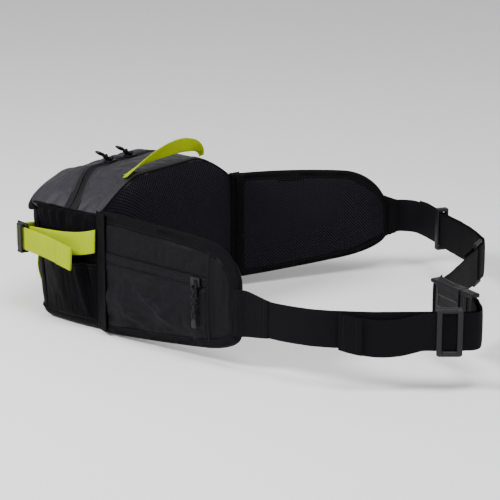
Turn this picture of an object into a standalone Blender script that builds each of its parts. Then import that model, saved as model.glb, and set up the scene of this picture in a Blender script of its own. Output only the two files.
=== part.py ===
"""Waist pack: a lumbar bag with two padded hip wings, a zipped main compartment,
side compression straps and a 38 mm webbing belt closed by a side-release buckle.

Frame: metres, +Z up. The origin lies on the flat underside of the bag. The back
panel and the belt face +Y, the front panel faces -Y, and right is +X.
"""

import math

import bmesh
import bpy
from mathutils import Matrix, Vector
from mathutils.geometry import interpolate_bezier

MM = 0.001
GAP = 0.4 * MM

# Bag
HALF_WIDTH = 0.108
BACK_Y = 0.045
SIDE_HEIGHT = 0.128
CROWN_RISE = 0.0325
CROWN_FLAT = 0.045
FRONT_BASE_Y = -0.044
FRONT_LEAN = 0.014
FRONT_BULGE = 0.014
CORNER_RADIUS = 0.018
FLOOR_RADIUS = 0.012
SIDE_BULGE = 0.003
PANEL = 2.4 * MM
BASE_THICK = 3.0 * MM

# Main zip
ZIP_Y = -0.018
ZIP_END_Y = 0.003
ZIP_BAND = 0.010
ZIP_SLOT = 0.0035
SLIDER_X = {"right": 0.020, "left": -0.012}
MAIN_PULL_LENGTH = 24  # millimetres

# Back panel
PAD_HALF_WIDTH = 0.092
PAD_THICK = 0.011

# Lime webbing
LIME_WIDTH = 0.025
LIME_THICK = 1.6 * MM
HANDLE_X = 0.062
HANDLE_WIDTH = 0.022

# Wings: plan line, heights of both edges at root and tip, and the tab past the tip
WING = {
    "right": {
        "side": 1, "root": (0.107, 0.049), "tip": (0.112, 0.240),
        "bottom": (0.003, 0.023), "top": (0.131, 0.124), "tip_radius": 0.045, "anchor": 0.036,
    },
    "left": {
        "side": -1, "root": (-0.107, 0.049), "tip": (-0.277, 0.145),
        "bottom": (0.012, 0.027), "top": (0.129, 0.112), "tip_radius": 0.055, "anchor": 0.014,
    },
}
WING_LENGTH = 0.190
WING_EDGE = 2.5 * MM
WING_PILLOW = 4.5 * MM
WING_ROOT_GAP = 3.0 * MM
WING_ZIP_Z = 0.086
WING_SLIDER_S = 0.140
WING_PULL_LENGTH = 48  # millimetres

# Belt
BELT_Z = 0.062
BELT_WIDTH = 0.038
WEBBING = 1.4 * MM
LAYER_STEP = 5.4 * MM
TAIL_SAG = 0.007
TRIGLIDE_RIGHT = (0.031, 0.433)
TRIGLIDE_HEADING = (-0.62, 0.78)
TRIGLIDE_LEFT = (-0.172, 0.330)
KEEPER = (-0.268, 0.220)
BUCKLE_START = (-0.0430, 0.3670)
BUCKLE_END = (-0.0210, 0.4280)
BAR = 1.3  # half the thickness of every bar that webbing turns round, in millimetres

MATERIAL_VALUES = {
    "black_ripstop": ((0.030, 0.030, 0.034), 0.80, 0.0),
    "grey_ripstop": ((0.130, 0.130, 0.140), 0.75, 0.0),
    "air_mesh": ((0.020, 0.020, 0.023), 0.90, 0.0),
    "foam": ((0.050, 0.050, 0.055), 0.95, 0.0),
    "black_webbing": ((0.024, 0.024, 0.027), 0.85, 0.0),
    "lime_webbing": ((0.560, 0.700, 0.060), 0.75, 0.0),
    "zip_tape": ((0.018, 0.018, 0.020), 0.80, 0.0),
    "zip_coil": ((0.022, 0.022, 0.024), 0.45, 0.0),
    "black_acetal": ((0.028, 0.028, 0.032), 0.45, 0.0),
    "pull_cord": ((0.022, 0.022, 0.025), 0.60, 0.0),
}
MATERIALS = {}


# ---------------------------------------------------------------- building tools


def clear_scene():
    """Remove whatever the open file holds."""
    for obj in list(bpy.data.objects):
        bpy.data.objects.remove(obj, do_unlink=True)


def make_materials():
    """One Principled material for each kind of stuff the pack is made of."""
    for name, (color, roughness, metallic) in MATERIAL_VALUES.items():
        material = bpy.data.materials.new(name)
        material.use_nodes = True
        shader = material.node_tree.nodes["Principled BSDF"]
        shader.inputs["Base Color"].default_value = (*color, 1.0)
        shader.inputs["Roughness"].default_value = roughness
        shader.inputs["Metallic"].default_value = metallic
        material.diffuse_color = (*color, 1.0)
        MATERIALS[name] = material


def add_object(name, verts, faces, material, origin=(0, 0, 0), smooth=False):
    """Link a closed mesh, given in world coordinates, with its origin at a point."""
    origin = Vector(origin)
    mesh = bpy.data.meshes.new(name)
    mesh.from_pydata([Vector(v) - origin for v in verts], [], faces)
    work = bmesh.new()
    work.from_mesh(mesh)
    bmesh.ops.recalc_face_normals(work, faces=work.faces)
    work.to_mesh(mesh)
    work.free()
    mesh.materials.append(MATERIALS[material])
    if smooth:
        mesh.shade_smooth()
        mesh.set_sharp_from_angle(angle=math.radians(40))
    obj = bpy.data.objects.new(name, mesh)
    obj.location = origin
    bpy.context.collection.objects.link(obj)
    return obj


def add_bevel(obj, width):
    """Break the edges of a moulded piece."""
    bevel = obj.modifiers.new("edges", "BEVEL")
    bevel.width = width
    bevel.segments = 1
    bevel.limit_method = "ANGLE"


def add_slab(name, outer, inner, material, origin=(0, 0, 0)):
    """Close the space between two grids of points that have the same rows and columns."""
    rows, cols = len(outer), len(outer[0])
    verts = [p for row in outer for p in row] + [p for row in inner for p in row]
    back = rows * cols

    def at(i, j, layer):
        return layer * back + i * cols + j

    faces = []
    for i in range(rows - 1):
        for j in range(cols - 1):
            faces.append([at(i, j, 0), at(i + 1, j, 0), at(i + 1, j + 1, 0), at(i, j + 1, 0)])
            faces.append([at(i, j, 1), at(i, j + 1, 1), at(i + 1, j + 1, 1), at(i + 1, j, 1)])
    for i in range(rows - 1):
        for j in (0, cols - 1):
            faces.append([at(i, j, 0), at(i, j, 1), at(i + 1, j, 1), at(i + 1, j, 0)])
    for j in range(cols - 1):
        for i in (0, rows - 1):
            faces.append([at(i, j, 0), at(i, j + 1, 0), at(i, j + 1, 1), at(i, j, 1)])
    return add_object(name, verts, faces, material, origin, smooth=True)


def add_ribbon(name, path, width, thick, material, across=None, origin=(0, 0, 0)):
    """Sweep flat webbing along a path; width and its direction may differ at each point."""
    path = [Vector(p) for p in path]
    across = across or [Vector((0, 0, 1))] * len(path)
    widths = width if isinstance(width, list) else [width] * len(path)
    front, back = [], []
    for i, point in enumerate(path):
        along = path[min(i + 1, len(path) - 1)] - path[max(i - 1, 0)]
        wide = Vector(across[i]).normalized()
        face = along.cross(wide).normalized()
        edges = (point - wide * widths[i] / 2, point + wide * widths[i] / 2)
        front.append([edge + face * thick / 2 for edge in edges])
        back.append([edge - face * thick / 2 for edge in edges])
    return add_slab(name, front, back, material, origin)


def add_cells(name, frame, cuts, is_solid, material, origin, bevel=0.4 * MM):
    """Build a moulding from box cells: cuts are in millimetres along the frame's axes."""
    counts = [len(c) - 1 for c in cuts]

    def solid(cell):
        inside = all(0 <= cell[k] < counts[k] for k in range(3))
        return inside and is_solid(*[(cuts[k][cell[k]] + cuts[k][cell[k] + 1]) / 2 for k in range(3)])

    index, verts, faces = {}, [], []

    def vert(key):
        if key not in index:
            index[key] = len(verts)
            verts.append(frame @ Vector([cuts[k][key[k]] * MM for k in range(3)]))
        return index[key]

    cells = [(i, j, k) for i in range(counts[0]) for j in range(counts[1]) for k in range(counts[2])]
    for cell in filter(solid, cells):
        for axis in range(3):
            for step in (0, 1):
                beside = list(cell)
                beside[axis] += 2 * step - 1
                if solid(beside):
                    continue
                first, second = [a for a in range(3) if a != axis]
                loop = []
                for du, dv in ((0, 0), (1, 0), (1, 1), (0, 1)):
                    key = list(cell)
                    key[axis] += step
                    key[first] += du
                    key[second] += dv
                    loop.append(vert(tuple(key)))
                faces.append(loop)
    obj = add_object(name, verts, faces, material, origin)
    add_bevel(obj, bevel)
    return obj


def plan_frame(point, z, direction, side=1):
    """Axes for a piece standing on a plan line: along it, up, and to its outer side."""
    along = Vector((direction[0], direction[1], 0)).normalized()
    up = Vector((0, 0, 1))
    out = along.cross(up) * side
    frame = Matrix((along, up, out)).transposed().to_4x4()
    frame.translation = (point[0], point[1], z)
    return frame


def offset_plan(path, distance):
    """Shift a plan path to its right-hand side, keeping its heights."""
    moved = []
    for i, point in enumerate(path):
        along = path[min(i + 1, len(path) - 1)] - path[max(i - 1, 0)]
        right = Vector((along.y, -along.x, 0)).normalized()
        moved.append(point + right * distance)
    return moved


def half_turn(path_end, direction, radius, steps=6):
    """Points of a half circle that carries on from a path's end and turns to its right."""
    along = Vector((direction[0], direction[1], 0)).normalized()
    right = Vector((along.y, -along.x, 0))
    centre = path_end + right * radius
    points = []
    for k in range(1, steps):
        turn = math.pi * k / steps
        points.append(centre - right * radius * math.cos(turn) + along * radius * math.sin(turn))
    return points


def spread(start, end, count):
    """Evenly spaced values, both ends included."""
    return [start + (end - start) * i / (count - 1) for i in range(count)]


# ---------------------------------------------------------------- bag shape


def floor_inset(z):
    """How far the rounded bottom edge pulls the walls in at a height."""
    drop = max(0.0, FLOOR_RADIUS - z)
    return FLOOR_RADIUS - math.sqrt(FLOOR_RADIUS**2 - drop**2)


def front_y(x, z):
    """Front face of the bag: bowed in plan and leaning out as it rises."""
    bow = FRONT_BULGE * (1 - (x / HALF_WIDTH) ** 2)
    lean = FRONT_LEAN * (min(z, SIDE_HEIGHT) / SIDE_HEIGHT) ** 1.5
    return FRONT_BASE_Y - lean - bow + floor_inset(z)


def corner_point(angle, z, inset=0.0):
    """A point on the front right corner, from the front (0) to the side (90 degrees)."""
    straight = HALF_WIDTH - CORNER_RADIUS
    radius = CORNER_RADIUS - floor_inset(z)
    centre_y = front_y(straight, z) + radius
    radius -= inset
    turn = math.radians(angle)
    return straight + radius * math.sin(turn), centre_y - radius * math.cos(turn)


def crown(x, y):
    """Height of the domed top above any point of the plan."""
    slope = 0.004 * (y - BACK_Y) / 0.1
    fall = 1 - 0.5 * (max(0.0, -0.01 - y) / 0.065) ** 2
    out = max(0.0, abs(x) - CROWN_FLAT) / (HALF_WIDTH - CROWN_FLAT)
    return SIDE_HEIGHT + slope + CROWN_RISE * (1 - min(out, 1.0) ** 1.5) * fall


def top_front_y(x):
    """Front edge of the top, following the bag's rounded corners."""
    straight = HALF_WIDTH - CORNER_RADIUS
    over = abs(x) - straight
    if over <= 0:
        return front_y(x, SIDE_HEIGHT)
    return front_y(straight, SIDE_HEIGHT) + CORNER_RADIUS - math.sqrt(max(0.0, CORNER_RADIUS**2 - over**2))


def zip_y(x):
    """Plan line of the main zip: straight on top, sweeping back at both ends."""
    out = min(1.0, max(0.0, abs(x) - CROWN_FLAT) / (HALF_WIDTH - CROWN_FLAT))
    return ZIP_Y + (ZIP_END_Y - ZIP_Y) * out * out * (3 - 2 * out)


def side_x(u, z):
    """Outer face of a side panel, bowed between its front (0) and back (1) seams."""
    return HALF_WIDTH - floor_inset(z) + SIDE_BULGE * math.sin(math.pi * u)


WALL_BOTTOM = BASE_THICK + GAP
WALL_DROP = PANEL + 1.6 * MM


def wall_heights(top):
    """Heights of a wall's rows, close together where the bottom edge is rounded."""
    return [WALL_BOTTOM, 0.0065, FLOOR_RADIUS, 0.050, 0.090, top]


def build_front_panel():
    """The front wall, wrapping both front corners."""
    stations = [("corner", 1, a) for a in (88, 60, 30)]
    stations += [("front", 0, x) for x in spread(0.090, -0.090, 9)]
    stations += [("corner", -1, a) for a in (30, 60, 88)]

    def point(station, z, inset):
        kind, side, value = station
        if kind == "front":
            return value, front_y(value, z) + inset
        x, y = corner_point(value, z, inset)
        return side * x, y

    outer, inner = [], []
    for station in stations:
        x, y = point(station, SIDE_HEIGHT, 0)
        heights = wall_heights(crown(x, y) - WALL_DROP)
        outer.append([(*point(station, z, 0), z) for z in heights])
        inner.append([(*point(station, z, PANEL), z) for z in heights])
    add_slab("front_panel", outer, inner, "black_ripstop")

    rim = [point(s, SIDE_HEIGHT, -(GAP + 1.1 * MM)) for s in stations]
    path = [(x, y, crown(x, y) - 0.0055) for x, y in rim]
    add_ribbon("front_edge_piping", path, 0.008, 2.0 * MM, "black_webbing")


def side_grid(side, z_values, offset, u_values):
    """Points on a side panel, moved outward by an offset that may depend on place."""
    grid = []
    for u in u_values:
        row = []
        for v, z in enumerate(z_values):
            y_front = corner_point(90, z)[1] + GAP
            y = y_front + (BACK_Y - y_front) * u
            x = side_x(u, z) + offset(u, v / (len(z_values) - 1))
            row.append((side * x, y, z))
        grid.append(row)
    return grid


def build_side(name, side):
    """One side wall with its stretch pocket."""
    u_values = spread(0, 1, 7)
    top = SIDE_HEIGHT - WALL_DROP - 0.004
    heights = wall_heights(top)
    outer = side_grid(side, heights, lambda u, v: 0.0, u_values)
    inner = side_grid(side, heights, lambda u, v: -PANEL, u_values)
    add_slab(f"side_panel_{name}", outer, inner, "black_ripstop")

    pocket_u = spread(0.05, 0.95, 9)
    pocket_z = [0.013, 0.022, 0.036, 0.052, 0.072]

    def bulge(u, v):
        across = math.sin(math.pi * (u - 0.05) / 0.9)
        return GAP + 0.008 * across**0.7 * (0.15 + 0.85 * v**0.6)

    thick = 1.2 * MM
    near = side_grid(side, pocket_z, bulge, pocket_u)
    far = side_grid(side, pocket_z, lambda u, v: bulge(u, v) + thick, pocket_u)
    add_slab(f"side_pocket_{name}", far, near, "black_ripstop")


def build_base():
    """The flat floor of the bag."""
    z = BASE_THICK
    right = [(HALF_WIDTH - floor_inset(z), BACK_Y - 0.001)]
    right += [corner_point(a, z) for a in (90, 60, 30)]
    front = [(x, front_y(x, z)) for x in spread(0.090, -0.090, 9)]
    left = [(-x, y) for x, y in reversed(right)]
    outline = right + front + left
    count = len(outline)
    verts = [(x, y, 0.0) for x, y in outline] + [(x, y, z) for x, y in outline]
    faces = [list(range(count)), list(range(2 * count - 1, count - 1, -1))]
    faces += [[i, (i + 1) % count, count + (i + 1) % count, count + i] for i in range(count)]
    add_object("base_panel", verts, faces, "black_ripstop")


def add_crown_patch(name, xs, y_range, rows, lift, thick, material):
    """A patch of the domed top between two plan lines."""
    outer, inner = [], []
    for x in xs:
        low, high = y_range(x)
        ys = spread(low, high, rows)
        outer.append([(x, y, crown(x, y) + lift) for y in ys])
        inner.append([(x, y, crown(x, y) + lift - thick) for y in ys])
    add_slab(name, outer, inner, material)


def build_top():
    """Grey top panels, the zip between them and its two coils."""
    half = [0.0, 0.0225, CROWN_FLAT, 0.062, 0.078, 0.090, 0.098, 0.104, 0.1075]
    xs = [-x for x in reversed(half[1:])] + half
    edge = 0.6 * MM
    seam = ZIP_BAND + GAP
    add_crown_patch("top_front_panel", xs, lambda x: (top_front_y(x) + edge, zip_y(x) - seam),
                    5, 0.0, PANEL, "grey_ripstop")
    add_crown_patch("top_rear_panel", xs, lambda x: (zip_y(x) + seam, BACK_Y - edge),
                    4, 0.0, PANEL, "grey_ripstop")
    tape = 1.0 * MM
    add_crown_patch("main_zip_tape_front", xs, lambda x: (zip_y(x) - ZIP_BAND, zip_y(x) - ZIP_SLOT),
                    2, -0.3 * MM, tape, "zip_tape")
    add_crown_patch("main_zip_tape_rear", xs, lambda x: (zip_y(x) + ZIP_SLOT, zip_y(x) + ZIP_BAND),
                    2, -0.3 * MM, tape, "zip_tape")
    for name, side in (("right", 1), ("left", -1)):
        start = abs(SLIDER_X[name]) + 0.0065
        coil_xs = [side * x for x in [start] + [x for x in half if x > start + 0.001]]
        add_crown_patch(f"main_zip_coil_{name}", coil_xs, lambda x: (zip_y(x) - 0.0028, zip_y(x) + 0.0028),
                        2, 0.8 * MM, 2.0 * MM, "zip_coil")


def build_back():
    """Back sheet, its foam pad and the air-mesh cover over the pad."""
    heights = lambda x: wall_heights(crown(x, BACK_Y) - WALL_DROP)
    outer, inner = [], []
    for share in spread(-1, 1, 11):
        row_out, row_in = [], []
        for z in heights(share * (HALF_WIDTH - PANEL)):
            x = share * (HALF_WIDTH - floor_inset(z) - PANEL - GAP)
            row_out.append((x, BACK_Y, z))
            row_in.append((x, BACK_Y - PANEL, z))
        outer.append(row_out)
        inner.append(row_in)
    add_slab("back_sheet", outer, inner, "black_ripstop")

    def pad_grid(grow, reach):
        grid = []
        for u in spread(-1, 1, 9):
            x = u * (PAD_HALF_WIDTH + grow)
            bottom, top = 0.008 - grow, crown(x, BACK_Y) - 0.008 + grow
            row = []
            for v in spread(-1, 1, 7):
                z = (bottom + top) / 2 + v * (top - bottom) / 2
                swell = (1 - u**4) * (1 - v**4)
                row.append((x, BACK_Y + reach(swell), z))
            grid.append(row)
        return grid

    near = BACK_Y + GAP
    pad_face = lambda swell: near - BACK_Y + 0.002 + (PAD_THICK - 0.002) * swell
    add_slab("back_foam_pad", pad_grid(0, pad_face), pad_grid(0, lambda s: near - BACK_Y), "foam")
    cover_in = lambda swell: pad_face(swell) + GAP
    cover_out = lambda swell: pad_face(swell) + GAP + 1.8 * MM
    add_slab("back_mesh_cover", pad_grid(0.001, cover_out), pad_grid(0.001, cover_in), "air_mesh")


# ---------------------------------------------------------------- zip sliders


# A slider's cells are in millimetres; the pull turns on a bar at PULL_HEIGHT in its bail.
SLIDER_HALF_LENGTH = 6
SLIDER_HALF_WIDTH = 4.6
CHANNEL_HALF = 3.2
HOOD_ROOF = 1.1
HOOD_TOP = 2.6
BAIL_TOP = 5.4
PULL_HEIGHT = 3.5
PULL_REST = math.radians(30)


def add_slider(name, frame, turned=False):
    """A hood that rides over the coil, with a bail on top for the pull.

    Frame axes are along the zip, across it and away from the bag. A turned bail
    lets its pull swing across the zip instead of along it."""
    long_half, short_half, hole_half, bridge = 2.6, 1.2, 1.1, 4.4
    long_cuts = [-long_half, -hole_half, hole_half, long_half]
    short_cuts = [-short_half, short_half]
    along_cuts = short_cuts if turned else long_cuts
    across_cuts = long_cuts if turned else short_cuts

    def solid(along, across, up):
        if up < HOOD_TOP:
            return abs(across) > CHANNEL_HALF or up > HOOD_ROOF
        long_way, short_way = (across, along) if turned else (along, across)
        on_bail = abs(short_way) < short_half and abs(long_way) < long_half
        return on_bail and not (abs(long_way) < hole_half and up < bridge)

    cuts = (
        [-SLIDER_HALF_LENGTH, *along_cuts, SLIDER_HALF_LENGTH],
        [-SLIDER_HALF_WIDTH, -CHANNEL_HALF, *across_cuts, CHANNEL_HALF, SLIDER_HALF_WIDTH],
        [0, HOOD_ROOF, HOOD_TOP, bridge, BAIL_TOP],
    )
    add_cells(name, frame, cuts, solid, "black_acetal", frame.translation, 0.25 * MM)


def add_pull(name, frame, length):
    """A cord pull with its bar through the slider's bail, lying along the first axis."""
    cuts = ([-0.6, 0.6, 7.5, 9, length - 9, length], [-3.2, -1.8, -0.9, 0.9, 1.8, 3.2], [-0.6, 0.6])

    def solid(along, across, up):
        if along < 0.6 or 7.5 < along < 9 or along > length - 9:
            return True
        if along < 7.5:
            return abs(across) > 1.8
        return abs(across) < 1.8

    add_cells(name, frame, cuts, solid, "pull_cord", frame.translation, 0.25 * MM)


def build_main_sliders():
    """Two sliders on the main zip, each with a pull standing out towards the right."""
    for name, x in SLIDER_X.items():
        base = Matrix.Identity(4)
        base.translation = (x, ZIP_Y, crown(x, ZIP_Y) + 0.1 * MM)
        add_slider(f"main_zip_slider_{name}", base)
        pivot = base @ Matrix.Rotation(-PULL_REST, 4, "Y")
        pivot.translation.z += PULL_HEIGHT * MM
        add_pull(f"main_zip_pull_{name}", pivot, MAIN_PULL_LENGTH)


# ---------------------------------------------------------------- lime webbing


def build_side_strap(name, side):
    """Compression strap, its ladder lock, the lock's anchor and the gear loop below."""
    z_back, z_mid, z_lock = 0.100, 0.091, 0.085
    lock = Vector((0.1105, -0.0570, z_lock))
    travel = Vector((-0.25, -0.97, 0)).normalized()
    right = Vector((travel.y, -travel.x, 0))
    loop_radius = LAYER_STEP / 2

    def mirrored(points):
        return [Vector((side * p[0], p[1], p[2])) for p in points]

    bar = lock + travel * 0.0093
    inner_end = bar + right * loop_radius
    run = interpolate_bezier((0.1118, 0.0435, z_back), (0.1170, 0.015, z_mid), (0.1155, -0.025, z_mid),
                             inner_end - travel * 0.004, 10)
    turn = [bar + right * loop_radius * math.cos(a) + travel * loop_radius * math.sin(a)
            for a in spread(0, math.pi, 7)]
    outer_start = bar - right * loop_radius
    tail = interpolate_bezier(outer_start - travel * 0.004, outer_start - travel * 0.024,
                              (0.1240, -0.022, 0.082), (0.1275, -0.002, 0.076), 8)
    path = list(run) + turn + list(tail)
    add_ribbon(f"compression_strap_{name}", mirrored(path), LIME_WIDTH, LIME_THICK, "lime_webbing")

    frame = plan_frame(lock[:2], z_lock, travel[:2])
    if side < 0:
        frame = Matrix.Scale(-1, 4, (1, 0, 0)) @ frame
    mid, far = 9.3, 17.8
    cuts = ([0, 2, mid - BAR, mid + BAR, far - BAR, far + BAR], [-15.8, -13.4, 13.4, 15.8], [-BAR, BAR])

    def solid(along, up, out):
        return abs(up) > 13.4 or along < 2 or abs(along - mid) < BAR or abs(along - far) < BAR

    pivot = lock + travel * 0.0178
    pivot.x *= side
    add_cells(f"ladder_lock_{name}", frame, cuts, solid, "black_acetal", pivot)

    front_bar = lock + travel * 0.0178
    patch_x = 0.078
    seat = Vector((patch_x, front_y(patch_x, z_lock + LIME_WIDTH / 2) - 2 * MM, z_lock))
    reach = (front_bar - seat).normalized()
    aside = Vector((-reach.y, reach.x, 0))
    turn = [front_bar + (aside * math.cos(a) + reach * math.sin(a)) * loop_radius
            for a in spread(0, math.pi, 7)]
    under = interpolate_bezier(seat, seat + Vector((0.008, 0, 0)), turn[0] - reach * 0.006, turn[0], 6)
    over_end = seat + Vector((0.003, -LIME_THICK - GAP, 0))
    over = interpolate_bezier(turn[-1], turn[-1] - reach * 0.006, over_end + Vector((0.006, 0, 0)), over_end, 6)
    path = list(under[:-1]) + turn + list(over[1:])
    add_ribbon(f"ladder_anchor_{name}", mirrored(path), LIME_WIDTH, LIME_THICK, "lime_webbing")

    path = []
    loop_x = 0.082
    for t in spread(0, 1, 9):
        z = 0.072 - 0.048 * t
        bow = 0.0085 * math.sin(math.pi * t) ** 0.6 if 0 < t < 1 else 0.0
        path.append((loop_x, front_y(loop_x, z) - 2 * MM - bow, z))
    width = [Vector((side, 2 * FRONT_BULGE * loop_x / HALF_WIDTH**2, 0))] * len(path)
    add_ribbon(f"front_gear_loop_{name}", mirrored(path), 0.020, LIME_THICK, "lime_webbing", width)


def build_handle():
    """The grab handle over the back of the top, sewn down at both ends and lying twisted."""
    seat_y, lift = BACK_Y - 0.003, 0.0016
    ends = [Vector((x, seat_y, crown(x, BACK_Y) + lift)) for x in (HANDLE_X, -HANDLE_X)]
    path = interpolate_bezier(ends[0], ends[0] + Vector((-0.026, 0, 0.015)),
                              ends[1] + Vector((-0.006, 0, 0.020)), ends[1], 15)
    across, widths = [], []
    for i, t in enumerate(spread(0, 1, 15)):
        lean = math.radians(25 + 50 * math.sin(math.pi * t**1.4))
        width = HANDLE_WIDTH * (0.45 + 0.55 * max(0.0, math.sin(math.pi * t)) ** 0.7)
        path[i].z += width / 2 * math.sin(lean)
        across.append(Vector((0, math.cos(lean), math.sin(lean))))
        widths.append(width)
    origin = (0, seat_y, ends[0].z)
    add_ribbon("grab_handle", path, widths, LIME_THICK, "lime_webbing", across, origin)


# ---------------------------------------------------------------- wings


def wing_frame(name):
    """Plan frame of a wing: along it, up, and away from the wearer."""
    spec = WING[name]
    direction = Vector(spec["tip"]) - Vector(spec["root"])
    return plan_frame(spec["root"], 0.0, direction, spec["side"])


def wing_reach(u):
    """Distance along the wing for a share of its length, closer together at the round end."""
    return WING_ROOT_GAP + (WING_LENGTH - WING_ROOT_GAP) * math.sin(u * math.pi / 2) ** 0.9


def wing_edges(name, s):
    """Bottom and top height of a wing at a distance from its root."""
    spec = WING[name]
    share = s / WING_LENGTH
    end = max(0.0, (s - (WING_LENGTH - spec["tip_radius"])) / spec["tip_radius"])
    round_off = 1 - math.sqrt(max(0.0, 1 - end**2))
    root_top, tip_top = spec["top"]
    root_bottom, tip_bottom = spec["bottom"]
    top = root_top + (tip_top - root_top) * share**2 - 0.8 * spec["tip_radius"] * round_off
    bottom = root_bottom + (tip_bottom - root_bottom) * share**1.3 + 0.3 * spec["tip_radius"] * round_off
    return bottom, top


def wing_half_thickness(s, share):
    """Half the pad's thickness: pillowed, thin round the edge."""
    u = 2 * s / WING_LENGTH - 1
    v = 2 * share - 1
    return WING_EDGE + WING_PILLOW * (1 - u**8) * (1 - v**4)


def wing_grid(name, s_values, z_shares, offset):
    """Points over a wing's face; offset gives the distance from its mid-plane."""
    frame = wing_frame(name)
    grid = []
    for s in s_values:
        bottom, top = wing_edges(name, s)
        grid.append([frame @ Vector((s, bottom + (top - bottom) * v, offset(s, v))) for v in z_shares])
    return grid


def build_wing(name):
    """One padded wing with its lining, pocket, zip, edge binding and belt anchor."""
    frame = wing_frame(name)
    hinge = frame.translation
    s_all = [wing_reach(u) for u in spread(0, 1, 12)]
    shares = spread(0, 1, 7)
    half = wing_half_thickness
    add_slab(f"wing_pad_{name}", wing_grid(name, s_all, shares, half),
             wing_grid(name, s_all, shares, lambda s, v: -half(s, v)), "black_ripstop", hinge)

    s_skin = [s for s in s_all if 0.008 < s < WING_LENGTH - 0.006]
    skin_shares = spread(0.06, 0.94, 7)
    lining = 1.6 * MM
    add_slab(f"wing_mesh_lining_{name}",
             wing_grid(name, s_skin, skin_shares, lambda s, v: -half(s, v) - GAP - lining),
             wing_grid(name, s_skin, skin_shares, lambda s, v: -half(s, v) - GAP), "air_mesh", hinge)

    build_wing_pocket(name, frame, s_skin)
    build_wing_binding(name, frame, s_all)
    build_wing_anchor(name, frame)


def build_wing_pocket(name, frame, s_skin):
    """The zipped pocket on a wing's outer face."""
    hinge = frame.translation
    half = wing_half_thickness
    pocket_s = [s for s in s_skin if 0.012 < s < 0.172]

    def at_height(s, z):
        bottom, top = wing_edges(name, s)
        return (z - bottom) / (top - bottom)

    def face_grid(low, high, rows, lift):
        grid = []
        for s in pocket_s:
            bottom = wing_edges(name, s)[0] + 0.008 if low is None else low
            row = []
            for z in spread(bottom, high, rows):
                row.append(frame @ Vector((s, z, half(s, at_height(s, z)) + lift)))
            grid.append(row)
        return grid

    cloth = 1.2 * MM
    top_edge = WING_ZIP_Z - 0.0034
    add_slab(f"wing_pocket_{name}", face_grid(None, top_edge, 5, GAP + cloth),
             face_grid(None, top_edge, 5, GAP), "black_ripstop", hinge)
    low, high = WING_ZIP_Z - 0.0028, WING_ZIP_Z + 0.0028
    add_slab(f"wing_zip_coil_{name}", face_grid(low, high, 2, GAP + 1.8 * MM),
             face_grid(low, high, 2, GAP), "zip_coil", hinge)

    seat = half(WING_SLIDER_S, 0.66) + GAP + 1.5 * MM
    along = frame.col[0].to_3d()
    up = frame.col[1].to_3d()
    out = frame.col[2].to_3d()
    slider = Matrix((along, up, out)).transposed().to_4x4()
    slider.translation = frame @ Vector((WING_SLIDER_S, WING_ZIP_Z, seat))
    add_slider(f"wing_zip_slider_{name}", slider, turned=True)
    pull = Matrix((-up, along, out)).transposed().to_4x4()
    pull.translation = slider.translation + out * PULL_HEIGHT * MM
    add_pull(f"wing_zip_pull_{name}", pull, WING_PULL_LENGTH)


def build_wing_binding(name, frame, s_all):
    """Tape folded over the wing's edge, from the top of the root round to the bottom."""
    lift = GAP + 0.8 * MM
    rim = []
    for s in s_all:
        rim.append(Vector((s, wing_edges(name, s)[1], 0)))
    for s in reversed(s_all):
        rim.append(Vector((s, wing_edges(name, s)[0], 0)))
    path = []
    for i, point in enumerate(rim):
        along = rim[min(i + 1, len(rim) - 1)] - rim[max(i - 1, 0)]
        away = Vector((-along.y, along.x, 0)).normalized()
        path.append(frame @ (point + away * lift))
    across = [frame.col[2].to_3d()] * len(path)
    add_ribbon(f"wing_binding_{name}", path, 2 * WING_EDGE + 2 * MM, 1.4 * MM, "black_webbing",
               across, frame.translation)


def build_wing_anchor(name, frame):
    """The tapered tab that joins the belt webbing to the wing's tip."""
    start = WING_LENGTH + 0.0025
    bottom, top = BELT_Z - 0.0245, BELT_Z + 0.0245
    slim = (0.049 - BELT_WIDTH) / 2
    outer, inner = [], []
    for t in spread(0, 1, 4):
        s = start + (WING[name]["anchor"] - 0.0025) * t
        low, high = bottom + slim * t, top - slim * t
        outer.append([frame @ Vector((s, z, 1.6 * MM)) for z in (low, high)])
        inner.append([frame @ Vector((s, z, -1.6 * MM)) for z in (low, high)])
    add_slab(f"wing_tip_anchor_{name}", outer, inner, "black_webbing", frame.translation)


# ---------------------------------------------------------------- belt


def bar_frame(point, direction):
    """Frame of a belt fitting: along the webbing, up, and outward."""
    return plan_frame(point, BELT_Z, direction)


def anchor_end(name):
    """Where the belt webbing starts, just past a wing's anchor, and its direction."""
    spec = WING[name]
    root = Vector((*spec["root"], BELT_Z))
    along = (Vector((*spec["tip"], BELT_Z)) - root).normalized()
    return root + along * (WING_LENGTH + spec["anchor"] + GAP), along


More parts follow.
